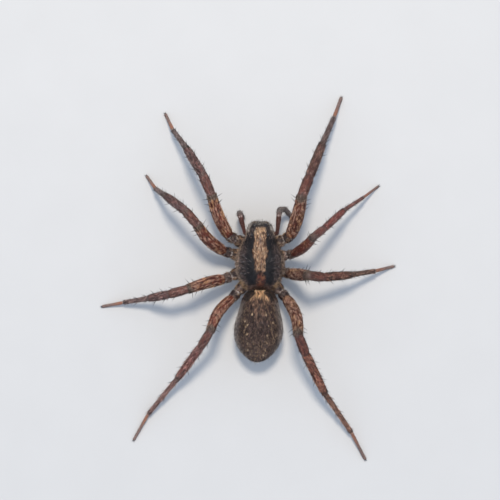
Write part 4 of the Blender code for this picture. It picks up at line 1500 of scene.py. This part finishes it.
def strand_mesh(roots, length, width, lift, curl, sway, colour, rows):
    """Points, triangles and colours of strands, and the points in each. rows is 1 for straight ones."""
    normal = roots["normal"]
    length, width, lift, curl, sway = (values[:, None] for values in (length, width, lift, curl, sway))
    lie = unit(roots["lie"] - normal * dot(roots["lie"], normal))
    lie = lie * np.cos(sway) + np.cross(normal, lie) * np.sin(sway)
    way = lie * np.cos(lift) + normal * np.sin(lift)
    side = unit(np.cross(normal, way))
    over = np.cross(way, side)
    start = roots["place"] - normal * (width * 0.3)
    rings = []
    for share in np.arange(rows) / rows:
        middle = start + way * (length * share) - normal * (length * curl * share * share)
        half = width * 0.5 * (1 - 0.45 * share)
        corners = [middle + side * half * math.cos(a) + over * half * math.sin(a) for a in STRAND_CORNERS]
        rings.append(np.stack(corners, 1))
    tip = start + way * length - normal * (length * curl)
    points = np.concatenate([*rings, tip[:, None]], 1)
    points[..., 2] = np.maximum(points[..., 2], STRAND_FLOOR)
    count, each = points.shape[:2]
    faces = strand_faces(rows)[None] + (np.arange(count) * each)[:, None, None]
    colour = colour[:, None]
    tone = np.concatenate([np.repeat(colour * 0.85, each - 1, axis=1), colour * 1.12], axis=1)
    return points.reshape(-1, 3), faces.reshape(-1, 3), tone.reshape(-1, 3), each


def patches(places, each):
    """Each strand's patch at its root's place on the unwrapped skin. All the strand's sides share it."""
    rows = (each - 1) // 3
    ring = [(side, row / rows * 0.9) for row in range(rows) for side in (0.0, 1.0, 0.5)]
    shape = np.array([*ring, (0.5, 1.0)])
    return (places[:, None] + shape[None] * PATCH).reshape(-1, 2)


def unwrapped(roots):
    """Each root's place on a flat unwrap: round the body across, along it up, a strip for each segment."""
    region = roots["region"]
    across = (roots["around"] / math.tau) % 1.0
    up = np.clip(roots["along"], 0, 1)
    limb = np.isin(region, (LEG_REGION, PALP_REGION))
    up = np.where(limb, (roots["segment"] + up) / len(LEG_PROFILES), up)
    flat = np.isin(region, (CARAPACE_REGION, STERNUM_REGION))
    x, y, z = roots["place"].T
    across = np.where(flat, np.arctan2(x, z - 5.0) / math.tau + 0.5, across)
    up = np.where(flat, (y + 6.3) / 10.8, up)
    return UNWRAP_EDGE + UNWRAP_SIZE * np.stack([np.clip(across, 0, 1), np.clip(up, 0, 1)], 1)


def lock(roots, size, seed):
    """-1 to 1, nearly the same for neighbours, so that hair lies in small locks."""
    return 2 * noise(roots["place"], size, seed) - 1


def coat_colours(roots):
    """Each strand is pale or dark by its place's share, and lighter or darker by itself and by its lock."""
    art = paint(roots)
    count = len(art["share"])
    is_pale = RNG.random(count) < art["share"]
    colour = np.where(is_pale[:, None], art["pale"], art["dark"])
    limb = np.isin(roots["region"], (LEG_REGION, PALP_REGION))
    clump = np.where(limb, 2 * streaks(roots, 0.34, 0.12, 36) - 1, lock(roots, 0.15, 34))
    tone = RNG.normal(1.0, 0.22, count) * (1 + 0.66 * (clump + 0.7 * lock(roots, 0.09, 35)))
    return colour * tone.clip(0.32, 1.9)[:, None], is_pale


def by_part(spots, leg, palp, carapace, abdomen, underside, tail):
    """One number for each place, from its segment of a leg or feeler, or its part of the body."""
    segment = spots["segment"].astype(int).clip(0, len(leg) - 1)
    values = {
        LEG_REGION: np.array(leg)[segment],
        PALP_REGION: np.array(palp)[segment.clip(0, len(palp) - 1)],
        CARAPACE_REGION: carapace,
        ABDOMEN_REGION: abdomen,
        STERNUM_REGION: underside,
        TAIL_REGION: tail,
    }
    choices = [spots["region"] == region for region in values]
    return np.select(choices, list(values.values()), 0.0).astype(float)


def beyond_hind_knee(spots):
    return np.isin(spots["limb"], HIND_LIMBS) & (spots["segment"] >= TIBIA)


def pile_layer(spots, faces):
    """The short coat that lies along the body."""
    roots = scatter(spots, faces, by_part(spots, *PILE_DENSITY) * paint(spots)["cover"])
    colour, is_pale = coat_colours(roots)
    count = len(colour)
    x, y, _ = roots["place"].T
    carapace = roots["region"] == CARAPACE_REGION
    band = carapace & is_pale
    rim = band & (np.abs(x) > 1.3)
    dotted = (roots["region"] == ABDOMEN_REGION) & is_pale & (y > 6.6)
    size = by_part(roots, *PILE_LENGTH) * (1 - 0.35 * carapace * ramp(-y, 4.8, 5.6))
    size = size * np.where(carapace & (roots["segment"] == 1), 0.5, 1.0)
    size = size * np.where(band, 1.35, np.where(dotted, 0.5, 1.0))
    length = size * RNG.uniform(0.7, 1.3, count)
    stout = np.where(dotted, 3.0, np.where(rim, 1.6, 1.0))
    width = np.clip(length * RNG.uniform(0.075, 0.11, count) * stout, 0.017, 0.07)
    lift = np.maximum(np.radians(RNG.uniform(4, 16, count) + 8 * lock(roots, 0.3, 31)), 0.05)
    sway = np.radians(RNG.normal(0, 9, count) + np.where(band, 48, 20) * lock(roots, 0.42, 32))
    return roots, length, width, lift, np.zeros(count), sway, colour


def guard_density(spots):
    """Guard hairs to each square mm, with more along the edges of the carapace and over the waist."""
    x, y, z = spots["place"].T
    density = by_part(spots, *GUARD_DENSITY)
    thin = np.minimum(1.0, limb_trait(spots, "hair") + 0.25)
    density = density * np.where(spots["region"] == LEG_REGION, thin, 1.0)
    density = density * np.where(beyond_hind_knee(spots), HIND_DENSITY, 1.0)
    carapace = spots["region"] == CARAPACE_REGION
    fringe = carapace * (1 - ramp(z, 5.2, 6.6)) * ramp(y, -5.0, -3.4)
    brow = carapace * ramp(-y, 5.2, 5.8)
    parting = brow * (1 - ramp(np.abs(x), 0.45, 0.75)) * ramp(z, 6.2, 6.8)
    # Where carapace and abdomen meet, hair from both closes the gap.
    neck = (spots["region"] == ABDOMEN_REGION) * (1 - ramp(y, 4.8, 5.1)) + carapace * ramp(y, 3.6, 3.9)
    lip = carapace * (1 - ramp(y, -5.75, -5.5)) * (1 - ramp(z, 5.85, 6.1))
    for edge, more in zip((fringe, brow, parting, neck, lip), EDGE_DENSITY):
        density = density + more * edge
    return density


def guard_layer(spots, faces):
    """Longer, darker hairs that stand off the outline, and the fringe along the carapace's edge."""
    roots = scatter(spots, faces, guard_density(spots))
    x, y, z = roots["place"].T
    carapace = roots["region"] == CARAPACE_REGION
    below_brow = carapace & (y < -5.6) & (z < 6.0)
    roots["lie"] = np.where(below_brow[:, None], (0.0, -0.25, -1.0), roots["lie"])
    tuft = (roots["region"] == ABDOMEN_REGION) & (y < 4.9) & (z > 6.0)
    forward = np.stack([x * 0.8, np.full_like(x, -1.0), np.full_like(x, 0.5)], 1)
    roots["lie"] = np.where(tuft[:, None], forward, roots["lie"])
    colour, _ = coat_colours(roots)
    count = len(colour)
    length = by_part(roots, *GUARD_LENGTH) * RNG.uniform(0.6, 1.35, count)
    width = np.clip(length * 0.05, 0.014, 0.028)
    lift = np.radians(RNG.uniform(20, 55, count))
    between_eyes = carapace & (y < -5.3) & (np.abs(x) < 0.75)
    lift = np.where(between_eyes, lift * 0.45, lift)
    eye_rim, corner = carapace & (roots["segment"] == 1), carapace & (y > 2.6)
    length = length * np.where(eye_rim, 0.35, np.where(corner, 1.45, 1.0))
    length = length * np.where(beyond_hind_knee(roots), HIND_LENGTH, 1.0)
    curl = RNG.uniform(0.05, 0.35, count)
    sway = np.radians(RNG.normal(0, 18, count))
    return roots, length, width, lift, curl, sway, colour


def bristle_layer(spots, faces):
    """Scattered long fine bristles, most of them on the face, the feelers and the legs."""
    brow = (spots["region"] == CARAPACE_REGION) * ramp(-spots["place"][:, 1], 5.0, 5.7)
    roots = scatter(spots, faces, by_part(spots, *BRISTLE_DENSITY) + 13.0 * brow)
    count = len(roots["place"])
    face = (roots["region"] == CARAPACE_REGION) & (roots["place"][:, 1] < -4.9)
    roots["lie"] = np.where(face[:, None], (0.0, -1.0, 0.15), roots["lie"])
    length = by_part(roots, *BRISTLE_LENGTH) * RNG.uniform(0.7, 1.3, count) * np.where(face, 1.25, 1.0)
    colour = mix(shade(46, 38, 36), shade(110, 96, 84), RNG.random(count) ** 2)
    lift = np.radians(RNG.uniform(35, 68, count))
    curl = RNG.uniform(0.1, 0.4, count)
    sway = np.radians(RNG.normal(0, 22, count))
    return roots, length, np.full(count, 0.022), lift, curl, sway, colour


def in_region(*numbers):
    return lambda spots: np.isin(spots["region"], numbers)


def on_leg(limb):
    return lambda spots: (spots["region"] == LEG_REGION) & (spots["limb"] == limb)


COAT_PIECES = {
    "coat_back": lambda spots: (spots["region"] == ABDOMEN_REGION) & (np.sin(spots["around"]) > 0),
    "coat_belly": lambda spots: (spots["region"] == ABDOMEN_REGION) & (np.sin(spots["around"]) <= 0),
    "coat_carapace": in_region(CARAPACE_REGION),
    "coat_underside": in_region(STERNUM_REGION, TAIL_REGION),
    "coat_palps": in_region(PALP_REGION),
    **{f"coat_leg_{key}": on_leg(limb) for limb, key in enumerate(LEG_POSES)},
}


def coat_piece(name, parts, material):
    """A piece of coat from its layers, each as (roots, strand values, rows, places on the unwrap)."""
    found, base = [], 0
    for roots, values, rows, places in parts:
        points, triangles, tone, each = strand_mesh(roots, *values, rows)
        found.append((points, triangles + base, tone, patches(places, each)))
        base += len(points)
    points, triangles, tone, uv = (np.concatenate(column) for column in zip(*found))
    make_object(name, points, triangles, material, "coat", tint=tone, uv=uv)
    print(name, len(triangles), "triangles")


def build_coat(spots, faces, material):
    kinds = ((pile_layer, 1), (guard_layer, 2), (bristle_layer, 3))
    layers = [(layer(spots, faces), rows) for layer, rows in kinds]
    for name, belongs in COAT_PIECES.items():
        parts = []
        for (roots, *values), rows in layers:
            here = belongs(roots)
            if here.any():
                own = chosen(roots, here)
                parts.append((own, [value[here] for value in values], rows, unwrapped(own)))
        coat_piece(name, parts, material)


# ---------------- spines, claws, eyes, jaws

# Spines of a leg, as (segment, share along it, angles round it in degrees, length, lift). 90 is on top.
SPINES = (
    (FEMUR, 0.24, (95,), 0.85, 40),
    (FEMUR, 0.44, (80, 150), 0.90, 45),
    (FEMUR, 0.66, (100, 30), 0.95, 50),
    (FEMUR, 0.82, (15, 160), 1.10, 62),
    (FEMUR, 0.94, (60, 10, 170), 1.10, 66),
    (PATELLA, 0.75, (10, 170), 0.75, 45),
    (TIBIA, 0.25, (8, 172), 1.05, 52),
    (TIBIA, 0.68, (8, 172, 90), 1.05, 52),
    (TIBIA, 0.16, (230, 310), 1.05, 34),
    (TIBIA, 0.50, (230, 310), 1.05, 34),
    (TIBIA, 0.90, (225, 315), 0.80, 40),
    (METATARSUS, 0.12, (230, 310, 8, 172), 1.00, 38),
    (METATARSUS, 0.48, (230, 310, 8, 172), 0.90, 38),
    (METATARSUS, 0.92, (225, 315, 20, 160), 0.50, 40),
)
SPINE_SIZES = {"2_right": 0.8}  # of a leg whose spines are shorter
SPINE_SIDES, SOCKET_SIDES, CLAW_SIDES = 6, 8, 8
SPINE_HALF = 0.050
SOCKET_GIRTH = np.array((2.3, 2.2, 1.4))  # of a spine's round socket, in half thicknesses of the spine
# Claws of a foot, as (offset to the side, size), then how far they reach, drop and keep above the floor.
CLAWS = ((0.09, 1.0), (-0.09, 1.0), (0.0, 0.6))
CLAW_REACH, CLAW_DROP, CLAW_FLOOR = 0.30, 0.16, 0.025
CLAW_GIRTH = (0.045, 0.038, 0.008)  # at the root, at 0.3 of the way and at the tip
JAW_SIDES, FANG_SIDES, EYE_SIDES, EYE_ROWS = 40, 20, 40, 24  # points in a ring, and rings of an eye
UP = np.array((0, 0, 1.0))


def cone_along(path, half, across, sides):
    return closed_form(tube(path, half, across, sides)[0], (path[0], path[-1]))


def joined(forms):
    starts = np.cumsum([0, *(len(points) for points, _ in forms)])
    faces = [faces + start for (_, faces), start in zip(forms, starts)]
    return np.concatenate([points for points, _ in forms]), np.concatenate(faces)


def spine(root, normal, lie, length, lift, half):
    """A stiff tapering bristle on a low round socket."""
    lie = unit(lie - normal * lie.dot(normal))
    way = lie * math.cos(lift) + normal * math.sin(lift)
    share = np.linspace(0, 1, 6)
    droop = normal * (0.10 * length * share**2)[:, None]
    path = root - normal * 0.03 + way * (length * share)[:, None] - droop
    path[:, 2] = np.maximum(path[:, 2], 0.03)
    girth = half * np.interp(share, (0, 0.15, 1), (1.0, 1.05, 0.12))
    socket = root + normal * np.array((-0.05, 0.0, 0.035))[:, None]
    return [
        cone_along(path, girth, np.cross(normal, lie), SPINE_SIDES),
        cone_along(socket, SOCKET_GIRTH * half, lie, SOCKET_SIDES),
    ]


def build_spines(spots, faces, material):
    surface = BVHTree.FromPolygons(spots["place"].tolist(), faces.tolist())
    forms = []
    for key in LEG_POSES:
        segments, across = limb_segments(key)
        size = SPINE_SIZES.get(key, 1.0)
        for number, share, angles, length, lift in SPINES:
            _, path, _, half = segments[number]
            at = int(round(share * (len(path) - 1)))
            along, side, up = (values[at] for values in tube_frames(path, across))
            for angle in angles:
                turn = math.radians(angle + RNG.normal(0, 6))
                out = side * math.cos(turn) + up * math.sin(turn)
                from_outside = Vector(path[at] + out * (half[at] + 0.4))
                hit, normal, _, _ = surface.ray_cast(from_outside, Vector(-out), 1.0)
                if hit is None:
                    continue
                long = length * size * RNG.uniform(0.85, 1.15)
                girth = SPINE_HALF * (0.75 + 0.35 * half[at])
                rise = math.radians(lift + RNG.normal(0, 5))
                forms += spine(np.array(hit), np.array(normal), along, long, rise, girth)
    make_object("spines", *joined(forms), material, "fang")


def build_claws(material):
    """Two curved claws and a small middle one at the end of each foot."""
    forms = []
    share = np.linspace(0, 1, 9)[:, None]
    for key in LEG_POSES:
        path = limb_segments(key)[0][TARSUS][1]
        way = unit(path[-1] - path[-4])
        way[2] = 0
        way = unit(way)
        side = np.cross(way, UP)
        for out, size in CLAWS:
            root = path[-1] + way * 0.10 + side * out + np.array((0, 0, 0.03))
            reach = way * (CLAW_REACH * size) * np.sin(share * 1.5) + side * (out * 0.9 * share)
            drop = UP * (0.05 * np.sin(share * math.pi) - CLAW_DROP * size * share**2)
            curve = root + reach + drop
            curve[:, 2] = np.maximum(curve[:, 2], CLAW_FLOOR)
            girth = np.interp(share[:, 0], (0, 0.3, 1), CLAW_GIRTH) * size
            forms.append(cone_along(curve, girth, side, CLAW_SIDES))
    make_object("claws", *joined(forms), material, "fang")


def ball(centre, radius, way):
    """A closed sphere with its pole towards the way it looks."""
    turns = np.linspace(0.0, math.pi, EYE_ROWS)
    path = centre + unit(way) * (-radius * np.cos(turns))[:, None]
    return cone_along(path, radius * np.sin(turns) + 1e-4, np.cross(way, (0.31, 0.2, 0.93)), EYE_SIDES)


def build_eyes(material):
    for name, centre, radius, looks in EYES:
        for side_name, side in SIDES.items():
            points, faces = ball(mirrored(centre, side), radius, mirrored(looks, side))
            piece = make_object(f"{name}_{side_name}_ball", points, faces, material, "eye")
            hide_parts(f"{name}_{side_name}")


def build_jaw(side_name, material):
    """One jaw. Returns what each of its points is, and its triangles."""
    side = SIDES[side_name]
    start, end = (mirrored(place, side) for place in CHELICERA)
    path, share = segment_path(start, end, CHELICERA_BULGE, 0.06)
    path, half, _ = domed(path, curve_through(CHELICERA_GIRTH, share) - PLATE_DEPTH, 0.55)
    grid, _, along = tube(path, half, (side, 0, 0), JAW_SIDES)
    piece = make_object(f"jaw_{side_name}", *closed_form(grid), material, "jaw")
    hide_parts(f"chelicera_{side_name}")
    place, centre = grid.reshape(-1, 3), np.repeat(grid.mean(1), JAW_SIDES, axis=0)
    spots = dict(place=place, normal=unit(place - centre), lie=np.repeat(along, JAW_SIDES, axis=0))
    return spots, grid_faces(len(grid), JAW_SIDES)


def build_fang(side_name, material):
    side = SIDES[side_name]
    share = np.linspace(0, 1, 22)[:, None]
    reach = np.array((-side * FANG_REACH[0], *FANG_REACH[1:]))
    curve = mirrored(FANG_ROOT, side) + reach * share - FANG_CURL * np.sin(math.pi * share)
    points, faces = cone_along(curve, curve_through(FANG_GIRTH, share[:, 0]), UP, FANG_SIDES)
    piece = make_object(f"fang_{side_name}_point", points, faces, material, "fang")
    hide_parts(f"fang_{side_name}")


def jaw_hair(spots, faces):
    """The hair down the front of a jaw, as a part of a coat piece."""
    high, ahead = spots["place"][:, 2], -spots["normal"][:, 1]
    front = ramp(ahead, -0.2, 0.6) * (high > 1.9)
    roots = scatter(spots, faces, 12 + 60 * front + 70 * ramp(high, 3.6, 4.8))
    x, _, z = roots["place"].T
    count = len(z)
    colour = mix(shade(78, 58, 48), shade(166, 146, 124), ramp(z, 2.2, 4.6) * RNG.random(count) ** 0.6)
    length = RNG.uniform(0.25, 0.50, count)
    width = np.clip(length * 0.06, 0.016, 0.03)
    lift = np.radians(RNG.uniform(12, 38, count))
    sway = np.radians(RNG.normal(0, 14, count))
    curl = RNG.uniform(0.0, 0.3, count)
    flat = np.stack([np.clip((x + 1.8) / 3.6, 0, 0.99), np.clip((z - 1.2) / 4.8, 0, 0.99)], 1)
    return roots, (length, width, lift, curl, sway, colour), 2, UNWRAP_EDGE + 0.95 * flat


def build_jaws(jaw_material, fang_material, hair_material):
    """Jaws with their fangs folded under them, and the hair down their fronts."""
    jaws = []
    for side_name in SIDES:
        jaws.append(build_jaw(side_name, jaw_material))
        build_fang(side_name, fang_material)
    coat_piece("coat_jaws", [jaw_hair(*jaw) for jaw in jaws], hair_material)


# ---------------- floor, light and camera

FLOOR_SIZE = 3000.0
CAMERA_PLACE = (1.584, -1.90, 300.0)
VIEW_WIDTH = 80.26  # of the floor, at the camera's distance
SENSOR = 36.0
KEY_PLACE, KEY_SIZE, KEY_POWER = (6, -256, 602), 124, 2.96
KEY_COLOUR = (1.035, 0.93, 0.79)
SKY_COLOUR, SKY_STRENGTH = (0.775, 0.89, 1.075, 1), 0.780


def build_floor():
    half = FLOOR_SIZE / 2 * MM
    points = np.array([(-half, -half, 0), (half, -half, 0), (half, half, 0), (-half, half, 0)])
    mesh = new_mesh("floor", points, np.array([(0, 1, 2, 3)]))
    shader = Shader("floor", {"Roughness": 0.6, "Specular IOR Level": 0.2})
    shader.use("Base Color", shader.mottled(9.0, 3.0, (0.60, 0.60, 0.598), (0.615, 0.615, 0.613)))
    mesh.materials.append(shader.material)
    floor = placed("floor", mesh)


def build_light():
    """One broad warm lamp that faces the middle of the floor, and a pale sky."""
    light = bpy.data.lights.new("key", "AREA")
    light.shape = "DISK"
    light.size = KEY_SIZE * MM
    light.energy = KEY_POWER
    light.color = KEY_COLOUR
    lamp = placed("key", light)
    lamp.location = Vector(KEY_PLACE) * MM
    lamp.rotation_euler = (-Vector(KEY_PLACE)).to_track_quat("-Z", "Y").to_euler()
    world = bpy.data.worlds.new("studio")
    world.use_nodes = True
    sky = world.node_tree.nodes["Background"]
    sky.inputs["Color"].default_value = SKY_COLOUR
    sky.inputs["Strength"].default_value = SKY_STRENGTH
    bpy.context.scene.world = world


def build_camera():
    """A camera straight above the spider, with its head towards the bottom of the picture."""
    data = bpy.data.cameras.new("camera")
    data.sensor_width = SENSOR
    data.lens = SENSOR * CAMERA_PLACE[2] / VIEW_WIDTH
    data.clip_start, data.clip_end = 0.01, 10.0
    camera = placed("camera", data)
    place = np.array(CAMERA_PLACE) + (SHIFT[0], SHIFT[1], 0)
    camera.location = Vector(place) * MM
    camera.rotation_euler = (0, 0, math.pi)
    bpy.context.scene.camera = camera


def main():
    hide, coat = hide_material(), coat_material()
    jaw = horn_material("spider_jaw", (0.030, 0.014, 0.010), (0.085, 0.035, 0.022), 0.34, 0.6)
    horn = horn_material("spider_horn", (0.010, 0.007, 0.006), (0.030, 0.016, 0.012), 0.28, 0.2)
    spots, faces = build_skin(hide)
    print("skin", len(faces), "triangles")
    build_coat(spots, faces, coat)
    build_spines(spots, faces, horn)
    build_claws(horn)
    build_eyes(eye_material())
    build_jaws(jaw, horn, coat)
    build_floor()
    build_light()
    build_camera()
    bpy.context.scene.view_settings.view_transform = "Standard"


main()
